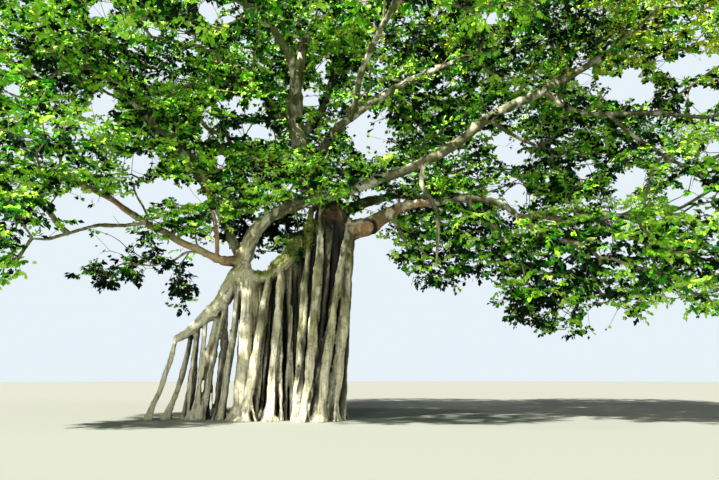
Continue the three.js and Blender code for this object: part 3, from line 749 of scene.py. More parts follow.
def limb_tube(name, begin=0.0, end=1.0):
    """The tube of a limb or of a stretch of it, with kinks, knots and ridges."""
    route, radii = LIMBS[name]
    rng = np.random.default_rng(SEED * 100 + list(LIMBS).index(name))
    points, shares = smooth_route(route, 0.13)
    size = spread(radii, shares)
    kink = np.stack([uneven(points, 1.1, rng) for _ in range(3)], 1)
    kink += 0.4 * np.stack([uneven(points, 0.45, rng) for _ in range(3)], 1)
    ease = np.clip(np.minimum(shares, 1 - shares) / 0.12, 0, 1)[:, None]
    points = points + KINK * kink * ease
    size = size * (1 + 0.1 * uneven(points, 0.5, rng))
    length = np.linalg.norm(np.diff(points, axis=0), axis=1).sum()
    for knot in rng.uniform(0.1, 1, int(length / KNOT_SPACING)):
        size = size * (1 + rng.uniform(0.1, 0.3) * np.exp(-((shares - knot) * length / 0.12) ** 2))
    size = size * (1 + 0.35 * np.clip(1 - shares * length / 0.7, 0, 1) ** 2)
    size = size * np.clip(0.4 + shares * length / 0.45, 0, 1) * LIMB_SLIMMER
    kept = (shares >= begin) & (shares <= end)
    return tube(points[kept], size[kept], 14 if max(radii) > THICK_LIMB else 9, 0.07, rng)


def core_tube(name, rng):
    route, radii = CORES[name]
    points, shares = smooth_route(route, 0.2)
    return tube(points, spread(radii, shares), 16, 0.05, rng)


def make_trunks():
    """The left trunk and the main trunk, each fused with its roots and thick limbs."""
    rng = np.random.default_rng(SEED)
    left = [core_tube("left_trunk", rng)]
    left += [limb_tube(name, 0, share) for name, share in FUSED_WITH_LEFT.items()]
    main = [core_tube("main_trunk", rng), core_tube("main_trunk_front", rng)]
    main += [limb_tube(name, 0, share) for name, share in FUSED_WITH_MAIN.items()]
    tables = (LEFT_ROOTS, BRIDGE_ROOTS, TRUNK_ROOTS)
    for parts, roots, thin in zip((left, main, main), tables, THIN_ROOTS):
        for foot, head, bow, radii in roots.values():
            parts.append(root_tube(foot, head, bow, radii, rng))
            if radii[0] > ROOT_WITH_TOES:
                parts += toe_tubes(foot, head, bow, radii[0], rng)
        stout = [root for root in roots.values() if root[3][0] > STOUT_ROOT]
        for number in rng.integers(len(stout), size=thin):
            parts.append(thin_root(*stout[number], rng))
    return fused("left_trunk_and_roots", left), fused("main_trunk_and_roots", main)


def make_boughs():
    """The boughs beyond the fused trunks, with their knots and ridges."""
    shares = {**FUSED_WITH_LEFT, **FUSED_WITH_MAIN}
    parts = [limb_tube(name, max(shares.get(name, 0) - LIMB_OVERLAP, 0)) for name in LIMBS
             if shares.get(name, 0) < 1]
    obj = new_object("boughs", *joined(parts))
    place, outward = surface(obj.data)
    height, width, seed = BOUGH_RELIEF
    place += outward * (height * smooth_noise(place, width, seed))[:, None]
    move_vertices(obj.data, place)
    return obj


def sky_rays(count):
    """Even directions over the upper half."""
    number = np.arange(count) + 0.5
    up = 1 - number / count
    turn = number * math.pi * (1 + 5 ** 0.5)
    level = np.sqrt(1 - up ** 2)
    return np.stack([level * np.cos(turn), level * np.sin(turn), up], 1)


def hollow_shade(mesh, place, outward):
    """How closed in each vertex is, from 0 in the open to 1 deep in a furrow: the strength of the painted
    shade there.
    """
    tree = BVHTree.FromPolygons(place.tolist(), [tuple(p.vertices) for p in mesh.polygons])
    helper = np.where(np.abs(outward[:, 2:3]) < 0.9, [[0, 0, 1.0]], [[1.0, 0, 0]])
    across = unit(np.cross(helper, outward))
    second = np.cross(outward, across)
    start = (place + outward * 0.02).tolist()
    total = np.zeros(len(place))
    for x, y, z in sky_rays(HOLLOW_RAYS):
        ways = (across * x + second * y + outward * z).tolist()
        for i, (origin, way) in enumerate(zip(start, ways)):
            distance = tree.ray_cast(origin, way, HOLLOW_REACH)[3]
            if distance is not None:
                total[i] += 1 - 0.6 * distance / HOLLOW_REACH
    return total / HOLLOW_RAYS


def nearness(place, name, width):
    """1 on a limb's middle line, 0 from a width outside its bark on."""
    route, radii = LIMBS[name]
    points, shares = smooth_route(route, 0.2)
    best = np.zeros(len(place))
    for point, radius in zip(points, spread(radii, shares)):
        gap = np.linalg.norm(place - point, axis=1) - radius
        best = np.maximum(best, np.clip(1 - gap / width, 0, 1))
    return best


def grain(place):
    """Where each vertex lies along the bark's grain: as z along its limb, as x and y round it.

    The grain of the pillar roots is upright.
    """
    result = place.copy()
    best = np.full(len(place), 0.06)
    for number, (route, radii) in enumerate(LIMBS.values()):
        points, shares = smooth_route(route, 0.25)
        first, second = side_frames(points)
        gap = np.linalg.norm(place[:, None] - points[None], axis=2) - spread(radii, shares)
        near = gap.argmin(1)
        gap = gap[np.arange(len(place)), near]
        offset = place - points[near]
        along = np.cross(first[near], second[near])
        local = np.stack([(offset * first[near]).sum(1), (offset * second[near]).sum(1),
                          way_along(points)[near] + (offset * along).sum(1) + 7.3 * number], 1)
        closer = gap < best
        result[closer] = local[closer]
        best = np.minimum(best, gap)
    return result


def add_marks(obj, hollow=True):
    """Marks on the bark: painted shade where it is closed in, how mossy and rusty it is, and a value from
    dark olive, 0, to pale, 1, that is partly its own colour and partly painted light and shade.

    Also where it lies along the bark's grain.
    """
    mesh = obj.data
    place, outward = surface(mesh)
    x, z = place[:, 0], place[:, 2]
    marks = np.zeros((len(place), 3), np.float32)

    def mark(kind, values):
        marks[:, kind] = np.maximum(marks[:, kind], values)

    # Painted shade where the bark is closed in by its own walls.
    if hollow:
        mark(PAINTED_SHADE, hollow_shade(mesh, place, outward))
    around = knot_distance(place)
    # Painted shade in the groove round the knot.
    ring = np.exp(-((around - 1.0) / 0.24) ** 2) * (outward[:, 1] < 0.2) * knot_side(place)
    mark(PAINTED_SHADE, 0.75 * ring * (0.8 + 0.35 * smooth_noise(place, 0.12, 45)))
    # Painted shade in the hollow under the fork, in streaks.
    shade_streaks = 0.75 + 0.6 * smooth_noise(place, (0.09, 0.09, 0.6), 43)
    mark(PAINTED_SHADE, 0.6 * within(place, *FORK_HOLLOW) ** 0.5 * shade_streaks)
    # Painted shade on the insides between the front and the back roots.
    if hollow:
        for middle, half in INSIDE_SHADE:
            mark(PAINTED_SHADE, 0.6 * within(place, middle, half) ** 0.35)
    patchy = 0.5 + 0.5 * smooth_noise(place, 0.5, 41) + 0.35 * smooth_noise(place, 0.18, 42)
    for middle, half, strength in MOSS_PATCHES:
        facing = np.clip(0.75 + 0.6 * outward[:, 2], 0, 1)
        mark(MOSS, strength * within(place, middle, half) ** 0.5 * facing)
    marks[:, MOSS] = np.clip(marks[:, MOSS] * (0.15 + 1.2 * patchy), 0, 1)
    for name, strength in RUSTY_LIMBS.items():
        under = np.clip(0.65 - 0.7 * outward[:, 2], 0, 1)
        mark(RUST, strength * nearness(place, name, 0.1) * under)
    mark(RUST, within(place, *FORK_RUST) ** 0.6)
    mark(RUST, 0.6 * np.exp(-(around / 0.85) ** 2) * (outward[:, 1] < 0.3))
    marks[:, RUST] = np.clip(marks[:, RUST] * (0.5 + patchy), 0, 1)
    add_attribute(mesh, "marks", marks)
    # Paler low down and darker olive high up: partly the bark's own colour, partly painted shade under the
    # crown.
    tone_and_painted_light = 0.4 + 0.6 * rise(z, 4.6, 2.2) - 0.42 * rise(z, 6.9, 8.1)
    # Painted light on the leader.
    tone_and_painted_light += 0.5 * within(place, *LIT_LEADER) ** 0.4
    # Darker high on the main trunk: partly olive bark, partly painted shade.
    if hollow:
        tone_and_painted_light -= (0.25 * rise(z, 5.6, 7.2) + 0.14) * rise(x, -1.6, -0.8)
    # Painted light on the sunlit left trunk and roots.
    tone_and_painted_light += 0.5 * rise(x, -2.6, -3.4) * rise(z, 6.2, 4.7)
    # Painted shade on the undersides of the bark from about 8 m up.
    tone_and_painted_light -= 0.9 * np.clip(0.15 - outward[:, 2], 0, 1) * rise(z, 8, 9.2)
    add_attribute(mesh, "tone_and_painted_light", np.clip(tone_and_painted_light + 0.2 * smooth_noise(place, (0.3, 0.3, 1.2), 44), 0, 1))
    add_attribute(mesh, "grain", grain(place))
    return marks


def moss_tufts(obj, marks):
    """Small blades of moss and fern on the mossy bark."""
    rng = np.random.default_rng(SEED + 7)
    place, outward = surface(obj.data)
    chance = np.clip(marks[:, MOSS] - 0.3, 0, 1) * np.clip(0.9 + outward[:, 2], 0, 1)
    picked = rng.choice(len(place), MOSS_TUFTS, p=chance / chance.sum())
    verts = []
    for _ in range(MOSS_BLADES):
        root = place[picked] + rng.normal(0, 0.015, (MOSS_TUFTS, 3))
        way = unit(outward[picked] + rng.normal(0, 0.6, root.shape) + [0, 0, 0.25])
        length = rng.uniform(*BLADE_LENGTH, MOSS_TUFTS)[:, None]
        side = unit(np.cross(way, rng.normal(0, 1, root.shape))) * BLADE_HALF_WIDTH
        verts.append(np.stack([root - side, root + side, root + way * length], 1).reshape(-1, 3))
    faces = np.arange(MOSS_BLADES * MOSS_TUFTS * 3).reshape(-1, 3).tolist()
    return new_object("bridge_moss", np.vstack(verts), faces)


def to_pixels(points):
    """The photo's pixel of each point, and its depth from the camera."""
    away = points - EYE
    depth = away[:, 1] * math.cos(PITCH) + away[:, 2] * math.sin(PITCH)
    up = away[:, 2] * math.cos(PITCH) - away[:, 1] * math.sin(PITCH)
    depth = np.maximum(depth, 0.1)
    x = IMAGE_WIDTH / 2 + FOCAL_PIXELS * away[:, 0] / depth
    y = IMAGE_HEIGHT / 2 - FOCAL_PIXELS * up / depth
    return x, y, depth


def from_pixels(x, y, world_y):
    """The places that the photo shows at pixels x, y, where they stand at world_y."""
    right = (x - IMAGE_WIDTH / 2) / FOCAL_PIXELS
    up = (IMAGE_HEIGHT / 2 - y) / FOCAL_PIXELS
    forward = math.cos(PITCH) - up * math.sin(PITCH)
    way = np.stack([right, forward, math.sin(PITCH) + up * math.cos(PITCH)], 1)
    return EYE + way * ((world_y - EYE[1]) / forward)[:, None]


def photo_noise(x, y, width, seed):
    """Smooth noise over the photo, with a width in its pixels."""
    return smooth_noise(np.stack([x, y, 0 * x], 1), width, seed)


def in_sky(points, grow=0.0):
    """Which points the camera sees in a gap of the crown, whose rim is uneven."""
    x, y, _ = to_pixels(points)
    hidden = np.zeros(len(points), bool)
    ragged = photo_noise(x, y, 10, 7) + 0.6 * photo_noise(x, y, 4, 8) + 0.6 * photo_noise(x, y, 2, 15)
    for left, top, right, bottom in SKY_GAPS.values():
        dx = (x - (left + right) / 2) / max((right - left) / 2 + grow, 1)
        dy = (y - (top + bottom) / 2) / max((bottom - top) / 2 + grow, 1)
        hidden |= np.abs(dx) ** 2.2 + np.abs(dy) ** 2.2 < 0.9 + ragged
    speck = photo_noise(x, y, 6, 13) + 0.5 * photo_noise(x, y, 3, 14)
    for left, top, right, bottom, share in SPECKLED.values():
        dx = (2 * x - left - right) / (right - left)
        dy = (2 * y - top - bottom) / (bottom - top)
        hidden |= speck < share - np.maximum(np.abs(dx), np.abs(dy)) ** 4
    return hidden


def depth_in(mesh, places):
    """How deep each place lies in a closed mesh, below 0 outside it."""
    skin = BVHTree.FromPolygons([v.co for v in mesh.vertices], [tuple(p.vertices) for p in mesh.polygons])
    depth = np.empty(len(places))
    for i, point in enumerate(places.tolist()):
        near, normal, _, distance = skin.find_nearest(point)
        inside = (Vector(point) - near).dot(normal) < 0
        depth[i] = distance if inside else -distance
    return depth


def mass_ends():
    """Places for twig ends, with the painted light and the leaf size there.

    They stand in clumps in each mass, and also between and beyond the masses and in front of limbs, but not
    in the gaps of the crown.
    """
    rng = np.random.default_rng(SEED + 2)
    ends, lights, sizes = [], [], []

    def add(places, light, size):
        clear = ~in_sky(places, -GAP_MARGIN)
        ends.append(places[clear])
        lights.append(np.broadcast_to(light, (len(places),))[clear])
        sizes.append(np.broadcast_to(size, (len(places),))[clear])

    for name in MASS_NAMES:
        spacing, leaf_size = MASS_FILL.get(name, MASS_FILL[""])
        low, high = (np.array(corner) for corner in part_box(name))
        axes = [np.arange(low[k] - 0.2, high[k] + 0.3, spacing) for k in range(3)]
        places = np.stack(np.meshgrid(*axes, indexing="ij"), -1).reshape(-1, 3)
        places += rng.uniform(-0.5, 0.5, places.shape) * spacing
        depth = depth_in(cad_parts[name].data, places)
        clump = smooth_noise(places, *CLUMPS) + 0.5 * smooth_noise(places, 1.1, 12)
        keep = (depth > -OUTSIDE_MASS) & (clump > OPENNESS.get(name, OPENNESS[""]))
        keep &= (depth < THIN_DEPTH) | (rng.random(len(places)) < THIN_SHARE)
        places, depth = places[keep], depth[keep]
        height = (places[:, 2] - low[2]) / (high[2] - low[2])
        # Painted light and shade: lighter high in a mass and in bright masses, darker deep inside it where
        # shade falls.
        light = 0.05 + 0.24 * (height - 0.5) - 0.4 * np.clip(depth - 0.25, 0, 1) + BRIGHTER.get(name, 0)
        add(places, light, np.where(depth < THIN_DEPTH, leaf_size, leaf_size * INNER_LEAF))
    for middle, half, count in CROWN_FILL:
        places = unit(rng.normal(0, 1, (count, 3))) * rng.uniform(0, 1, (count, 1)) ** 0.4 * half + middle
        # Painted light: lighter higher up.
        add(places, 0.1 * (places[:, 2] - middle[2]), OUTER_LEAF)
    for left, top, right, bottom, near_y, far_y, count, lighter in TUFTS.values():
        x, y = rng.uniform(left, right, count), rng.uniform(top, bottom, count)
        places = from_pixels(x, y, rng.uniform(near_y, far_y, count))
        # Painted light: lighter towards the top of each tuft.
        add(places, lighter + 0.3 * ((bottom - y) / (bottom - top) - 0.5), TUFT_LEAF)
    for name, (begin, end, count) in FRONT_LEAVES.items():
        points, shares = smooth_route(LIMBS[name][0], 0.1)
        places = points[rng.choice(np.flatnonzero((shares >= begin) & (shares <= end)), count)]
        add(places + rng.uniform(*IN_FRONT, places.shape), 0.06, TUFT_LEAF)
    return np.vstack(ends), np.concatenate(lights), np.concatenate(sizes)


def limb_seeds():
    """Points on the limbs that twigs may leave from, with the way there from the trunk."""
    points, ways, directions = [], [], []
    for name, (route, _) in LIMBS.items():
        if name in WITHOUT_TWIGS:
            continue
        on_limb, shares = smooth_route(route, 0.4)
        base = float(np.linalg.norm(np.array(route[0]) - FORK))
        kept = shares > 0.2
        points.append(on_limb[kept])
        ways.append(way_along(on_limb)[kept] + base)
        directions.append(np.gradient(on_limb, axis=0)[kept])
    return np.vstack(points), np.concatenate(ways), unit(np.vstack(directions))


def grow(ends):
    """Joins the ends to the limbs one by one, cheapest first.

    A twig costs its length, its turn and a share of the way back to the trunk. Returns all points, limb
    points first, the parent of each, its heading, the number of limb points, and the order of joining.
    """
    seeds, ways, directions = limb_seeds()
    count = len(seeds)
    points = np.vstack([seeds, ends])
    parent = np.full(len(points), -1)
    way = np.concatenate([ways, np.zeros(len(ends))])
    heading = np.vstack([directions, np.zeros((len(ends), 3))])
    best = np.full(len(ends), np.inf)
    choice = np.full(len(ends), -1)
    order = []

    def offer(i):
        gap = ends - points[i]
        length = np.sqrt((gap ** 2).sum(1)) + 1e-9
        turn = 1 - (gap @ heading[i]) / length
        cost = length * (1 + TURN_COST * turn) + WAY_COST * (way[i] + length)
        better = (cost < best) & (parent[count:] < 0)
        best[better] = cost[better]
        choice[better] = i

    for i in range(count):
        offer(i)
    for _ in range(len(ends)):
        j = int(np.argmin(best))
        i = choice[j]
        parent[count + j] = i
        gap = ends[j] - points[i]
        length = np.linalg.norm(gap)
        way[count + j] = way[i] + length
        heading[count + j] = gap / max(length, 1e-6)
        best[j] = np.inf
        order.append(count + j)
        offer(count + j)
    return points, parent, heading, count, order


def eased(points, parent, count):
    """The twig points drawn a little towards their neighbours, so that the way along them is smooth."""
    child = np.arange(count, len(points))
    for _ in range(2):
        total = points.copy()
        number = np.ones(len(points))
        np.add.at(total, parent[child], points[child])
        np.add.at(number, parent[child], 1)
        total[child] += points[parent[child]]
        number[child] += 1
        middle = total / number[:, None]
        inner = np.zeros(len(points), bool)
        inner[parent[child]] = True
        inner[:count] = False
        points[inner] = 0.45 * points[inner] + 0.55 * middle[inner]
    return points


def make_twigs(points, parent, count, order, stems):
    """Tubes along the growth, thicker where more twigs hang on them, and the stems of the sprays."""
    load = np.ones(len(points))
    for i in reversed(order):
        load[parent[i]] += load[i]
    children = {}
    for i in order:
        children.setdefault(int(parent[i]), []).append(i)
    starts = []
    for i, kids in children.items():
        kids.sort(key=lambda k: -load[k])
        starts += [(i, k) for k in (kids if i < count else kids[1:])]
    parts = []
    radius = TWIG_RADIUS * load ** TWIG_POWER
    for begin, first in starts:
        chain = [begin, first]
        while chain[-1] in children:
            chain.append(children[chain[-1]][0])
        sizes = radius[chain]
        sizes[0] = sizes[1] * 1.15
        heavy = load[first]
        way, shares = smooth_route(points[chain], 0.3 if heavy > 25 else 0.5)
        way[1:-1, 2] += 0.06 * smooth_noise(way, 0.8, 21)[1:-1]
        way[1:-1, 0] += 0.05 * smooth_noise(way, 0.7, 22)[1:-1]
        sides = 7 if heavy > 40 else 5 if heavy > 12 else 4 if heavy > 4 else 3
        parts.append(tube(way, spread(sizes, shares), sides, closed=False))
    clear = ~in_sky(stems[1])
    begin, tip = stems[0][clear], stems[1][clear]
    side = unit(np.cross(tip - begin, [0, 0, 1.0])) * STEM_HALF_WIDTH
    verts = np.stack([begin - side, begin + side, tip], 1).reshape(-1, 3)
    parts.append((verts, np.arange(len(verts)).reshape(-1, 3).tolist()))
    obj = new_object("twigs", *joined(parts))
    shade_smooth(obj.data)
    return obj


def spray_kinds():
    """Leaves of each kind of spray: where each starts, where it points, and which way it faces.

    A spray points along X, and its leaves droop. Also the far ends of its twiglets.
    """
    rng = np.random.default_rng(SEED + 3)
    kinds = []
    for _ in range(SPRAY_KINDS):
        start, point, face, tips = [], [], [], []
        for t in range(TWIGLETS):
            turn = math.radians((t - (TWIGLETS - 1) / 2) * 50 + rng.uniform(-16, 16))
            along = unit(np.array([math.cos(turn), math.sin(turn), rng.uniform(-0.4, 0.35)]))
            side = unit(np.cross([0, 0, 1], along))
            length = rng.uniform(*TWIGLET_LENGTH)
            tips.append(along * length)
            for k in range(LEAVES_ON_TWIGLET):
                share = (k + 0.8) / LEAVES_ON_TWIGLET
                hand = 1 if k % 2 else -1
                spread_out = rng.uniform(0.6, 1.15) * (1.1 - 0.7 * share)
                way = along * math.cos(spread_out) + side * hand * math.sin(spread_out)
                way[2] += rng.uniform(-0.9, 0.0)
                start.append(along * length * share + rng.uniform(-0.02, 0.02, 3))
                point.append(unit(way))
                face.append([rng.uniform(0.3, 1.3), rng.uniform(-0.75, 0.75), 0.6])
        kinds.append((start, point, face, tips))
    return kinds


def place_leaves(points, heading, count):
    """All leaves: base, direction along, across and facing, length, and the twiglet that each is on.

    Also the stems of the twiglets, as their begins and tips.
    """
    rng = np.random.default_rng(SEED + 4)
    start, point, face, ends = (np.array(part) for part in zip(*spray_kinds()))
    sprays = np.arange(count, len(points))
    which = rng.integers(SPRAY_KINDS, size=len(sprays))
    out = heading[sprays].copy()
    out[:, 2] *= 0.45
    out += rng.normal(0, 0.35, out.shape) * [1, 1, 0.4]
    out = unit(out)
    up = np.array([0, 0, 1.0]) + rng.normal(0, 0.28, out.shape)
    across = unit(np.cross(up, out))
    up = np.cross(out, across)
    size = rng.uniform(0.85, 1.2, len(sprays))
    by_kind = np.argsort(which, kind="stable")
    kind = which[by_kind]
    turn = np.stack([out, across, up], 1)[by_kind]
    origin = points[sprays[by_kind]]
    grown = size[by_kind][:, None, None]
    base = (origin[:, None] + (start[kind] @ turn) * grown).reshape(-1, 3)
    tips = (origin[:, None] + (ends[kind] @ turn) * grown).reshape(-1, 3)
    twiglet = np.repeat(by_kind[:, None] * TWIGLETS + np.arange(TWIGLETS), LEAVES_ON_TWIGLET)
    way = (point[kind] @ turn).reshape(-1, 3)
    way = unit(way + rng.normal(0, 0.2, way.shape))
    face = (face[kind] @ turn).reshape(-1, 3)
    face = face + rng.normal(0, 0.55, face.shape) + TO_THE_SUN
    wide = unit(np.cross(face, way))
    face = np.cross(way, wide)
    length = LEAF_LENGTH * rng.uniform(0.75, 1.2, len(base))
    return base, way, wide, face, length, twiglet, (np.repeat(origin, TWIGLETS, axis=0), tips)


def bare_maps():
    """For each of the photo's pixels, the depth of a limb that shows clear of leaves there, and how clear."""
    depth_map = np.full((IMAGE_HEIGHT, IMAGE_WIDTH), -1.0)
    clear_map = np.zeros((IMAGE_HEIGHT, IMAGE_WIDTH))
    for name, (begin, end, clear) in BARE_STRETCHES.items():
        route, radii = LIMBS[name]
        points, shares = smooth_route(route, 0.04)
        kept = (shares >= begin) & (shares <= end)
        x, y, depth = to_pixels(points[kept])
        reach = FOCAL_PIXELS * spread(radii, shares[kept]) / depth + 1.5
        for px, py, pd, pr in zip(x, y, depth, reach):
            x0, x1 = int(max(px - pr, 0)), int(min(px + pr + 1, IMAGE_WIDTH))
            y0, y1 = int(max(py - pr, 0)), int(min(py + pr + 1, IMAGE_HEIGHT))
            if x1 > x0 and y1 > y0:
                depth_map[y0:y1, x0:x1] = np.maximum(depth_map[y0:y1, x0:x1], pd)
                clear_map[y0:y1, x0:x1] = np.maximum(clear_map[y0:y1, x0:x1], clear)
    return depth_map, clear_map


def hides_limb(points):
    """Which leaves stand in front of a limb that shows in the photo. In places a bunch of them stays.

    Also which leaves hang into the camera's view close to it.
    """
    x, y, depth = to_pixels(points)
    inside = (x >= 0) & (x < IMAGE_WIDTH - 1) & (y >= 0) & (y < IMAGE_HEIGHT - 1)
    at = np.clip(y, 0, IMAGE_HEIGHT - 1).astype(int), np.clip(x, 0, IMAGE_WIDTH - 1).astype(int)
    depth_map, clear_map = bare_maps()
    bunch = photo_noise(x, y, 15, 9) + 0.3 * photo_noise(x, y, 5, 10)
    hides = inside & (depth < depth_map[at]) & (bunch < 1.7 * (clear_map[at] - 0.5))
    beside = np.abs(x - IMAGE_WIDTH / 2) < IMAGE_WIDTH / 2 + NEAR_MARGIN
    return hides | (beside & (y > -NEAR_MARGIN) & (depth < NEAREST_LEAF))


def deal_tints(place, lights):
    """The tint of each twiglet, as painted light and shade: lighter on the sunny side of a clump, high in a
    mass and in light masses.
    """
    rng = np.random.default_rng(SEED + 5)
    light = 0.5 + 0.7 * lights + 0.14 * smooth_noise(place, (1.8, 1.8, 1.0), 31)
    light += 0.28 * smooth_noise(place, (0.8, 0.8, 0.5), 32)
    # Painted light on the sunny side of each clump, painted shade on the far side.
    clump = smooth_noise(place, *CLUMPS) - smooth_noise(place + 1.5 * TO_THE_SUN, *CLUMPS)
    light += 0.36 * clump + rng.normal(0, 0.22, len(light))
    light = LIGHT_MIDDLE + LIGHT_CONTRAST * (light - 0.5)
    golden = np.zeros(len(light))
    for middle, half, share in GOLDEN_PLACES:
        golden = np.maximum(golden, share * within(place, middle, half) ** 0.5)
    tint = np.searchsorted([limit for _, limit, _ in TINTS.values()], np.clip(light, 0, 5))
    tint[(light > 0.5) & (rng.random(len(light)) < golden)] = list(TINTS).index("leaves_golden")
    return tint


def leaf_object(name, base, way, wide, face, length, shaded):
    """One piece of many leaves, each folded along its midrib."""
    outline, leaf_faces = SHADE_LEAF if shaded else SUN_LEAF
    along, across, rising = np.array(outline).T
    verts = (base[:, None] + length[:, None, None] * (
        along[None, :, None] * way[:, None] + LEAF_SHAPE / 2 * across[None, :, None] * wide[:, None]
        + 0.5 * rising[None, :, None] * face[:, None]))
    corners = (np.arange(len(base))[:, None, None] * len(outline) + np.array(leaf_faces)[None]).reshape(-1)
    mesh = bpy.data.meshes.new(name)
    mesh.vertices.add(len(base) * len(outline))
    mesh.vertices.foreach_set("co", verts.astype(np.float32).ravel())
    triangles = len(corners) // 3
    mesh.loops.add(len(corners))
    mesh.loops.foreach_set("vertex_index", corners.astype(np.int32))
    mesh.polygons.add(triangles)
    mesh.polygons.foreach_set("loop_start", np.arange(triangles, dtype=np.int32) * 3)
    shade_smooth(mesh)
    mesh.update(calc_edges=True)
    mesh.validate()
    return link(name, mesh)


class Look:
    """A node material under construction: its Principled shader, and short ways to add and join nodes."""

    def __init__(self, name, roughness=0.8):
        self.material = bpy.data.materials.new(name)
        self.material.use_nodes = True
        self.nodes = self.material.node_tree.nodes
        self.links = self.material.node_tree.links
        self.shader = self.nodes["Principled BSDF"]
        self.set("Roughness", roughness)

    def give(self, socket, value):
        """Joins a socket to another, or sets it to a number, a vector or a colour."""
        if isinstance(value, bpy.types.NodeSocket):
            self.links.new(value, socket)
        else:
            socket.default_value = (*value, 1) if socket.type == "RGBA" else value

    def set(self, name, value):
        self.give(self.shader.inputs[name], value)

    def add(self, kind, inputs=(), **settings):
        node = self.nodes.new("ShaderNode" + kind)
        for key, value in settings.items():
            setattr(node, key, value)
        for key, value in dict(inputs).items():
            self.give(node.inputs[key], value)
        return node

    def attribute(self, name, output="Vector"):
        return self.add("Attribute", attribute_name=name).outputs[output]

    def scaled(self, where, scale):
        return self.add("Mapping", {"Vector": where, "Scale": scale}).outputs["Vector"]

    def place(self, scale=(1, 1, 1)):
        return self.scaled(self.add("TexCoord").outputs["Object"], scale)

    def noise(self, where, scale, detail=4.0, roughness=0.55, distortion=0.0):
        settings = {"Vector": where, "Scale": scale, "Detail": detail, "Roughness": roughness,
                    "Distortion": distortion}
        return self.add("TexNoise", settings).outputs["Fac"]

    def ramp(self, value, *stops):
        """Colours or greys at stops along a value."""
        node = self.add("ValToRGB", {"Fac": value})
        elements = node.color_ramp.elements
        for i, (at, colour) in enumerate(stops):
            element = elements[i] if i < 2 else elements.new(at)
            element.position = at
            element.color = (*colour, 1) if isinstance(colour, tuple) else (colour, colour, colour, 1)
        return node.outputs["Color"]

    def mix(self, share, first, second, blend="MIX"):
        """A mix of two colours, whose sockets are numbers 6 and 7 of the node."""
        inputs = {0: share, 6: first, 7: second}
        return self.add("Mix", inputs, data_type="RGBA", blend_type=blend).outputs[2]

    def bump(self, height, strength, distance):
        node = self.add("Bump", {"Height": height, "Strength": strength, "Distance": distance})
        self.set("Normal", node.outputs["Normal"])


def bark_look():
    """Pale bark with beige and olive patches, streaks along the grain, stains, moss and rust, with painted
    shade in its furrows and hollows and painted light and shade in its lit and shaded stretches.
    """
    look = Look("bark", 0.85)
    where = look.place()
    # The first mark is painted shade.
    hollow, moss, rust = look.add("SeparateXYZ", {"Vector": look.attribute("marks")}).outputs
    tone_and_painted_light = look.attribute("tone_and_painted_light", "Fac")
    patches = look.noise(where, 1.3, 6, 0.6)
    base = look.ramp(patches, (0.34, (0.2, 0.205, 0.08)), (0.46, (0.41, 0.4, 0.2)),
                     (0.58, (0.56, 0.53, 0.31)), (0.68, (0.66, 0.61, 0.4)))
    # Dark olive at the low end of the mark and pale at the high end: the bark's own colour together with
    # painted light and shade.
    base = look.mix(look.ramp(tone_and_painted_light, (0, 0.92), (0.5, 0)), base, (0.085, 0.095, 0.03))
    base = look.mix(look.ramp(tone_and_painted_light, (0.5, 0), (1, 0.6)), base, (0.79, 0.745, 0.57))
    pale = look.ramp(look.noise(look.place((1, 1, 0.4)), 2.1, 4), (0.5, 0), (0.6, 1))
    base = look.mix(pale, base, (0.7, 0.66, 0.49))
    streaks = look.noise(look.scaled(look.attribute("grain"), (1, 1, 0.1)), 9, 6, 0.62, 0.4)
    base = look.mix(0.8, base, look.ramp(streaks, (0.36, 0.22), (0.48, 0.88), (0.6, 1)), "MULTIPLY")
    spots = look.noise(where, 11, 5, 0.65)
    base = look.mix(0.75, base, look.ramp(spots, (0.33, 0.35), (0.47, 1)), "MULTIPLY")
    stain = look.ramp(look.noise(look.place((1, 1, 0.3)), 1.6, 5, 0.6, 0.6), (0.58, 0), (0.7, 0.6))
    base = look.mix(stain, base, (0.1, 0.1, 0.06))
    rusty = look.ramp(look.noise(where, 5, 4), (0.3, (0.26, 0.1, 0.03)), (0.6, (0.62, 0.32, 0.13)))
    base = look.mix(rust, base, rusty)
    green = look.ramp(look.noise(where, 14, 4), (0.35, (0.1, 0.13, 0.025)), (0.62, (0.4, 0.44, 0.1)))
    base = look.mix(look.ramp(moss, (0.2, 0), (0.55, 0.9)), base, green)
    # Painted shade: the bark goes near black where it is closed in.
    base = look.mix(1.0, base, look.ramp(hollow, (0.1, 1), (0.27, 0.27), (0.46, 0.012)), "MULTIPLY")
    look.set("Base Color", base)
    look.set("Roughness", look.ramp(spots, (0.3, 0.95), (0.6, 0.72)))
    look.bump(look.mix(0.5, streaks, spots), 0.8, 0.035)
    return look.material


def twig_look():
    look = Look("twig_bark", 0.8)
    spots = look.noise(look.place(), 6, 4)
    look.set("Base Color", look.ramp(spots, (0.3, (0.06, 0.06, 0.025)), (0.5, (0.2, 0.19, 0.09)),
                                     (0.68, (0.46, 0.42, 0.24))))
    look.bump(spots, 0.5, 0.02)
    return look.material


def moss_look():
    look = Look("moss", 0.9)
    shade = look.noise(look.place(), 3, 4)
    look.set("Base Color", look.ramp(shade, (0.35, (0.09, 0.14, 0.02)), (0.55, (0.22, 0.3, 0.05)),
                                     (0.7, (0.4, 0.44, 0.1))))
    return look.material


def leaf_look(name, tint):
    look = Look(name, 0.55)
    look.set("Base Color", tint)
    look.set("Specular IOR Level", 0.11)
    return look.material


def finish_piece(obj, material, replaced=()):
    obj.data.materials.clear()
    obj.data.materials.append(material)
    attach(obj, "root")
    if replaced:
        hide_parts(*replaced)


def stage_piece(name, look):
    """Names the object that was just added and gives it its material."""
    obj = bpy.context.object
    obj.name = name
    obj.data.materials.append(look.material)


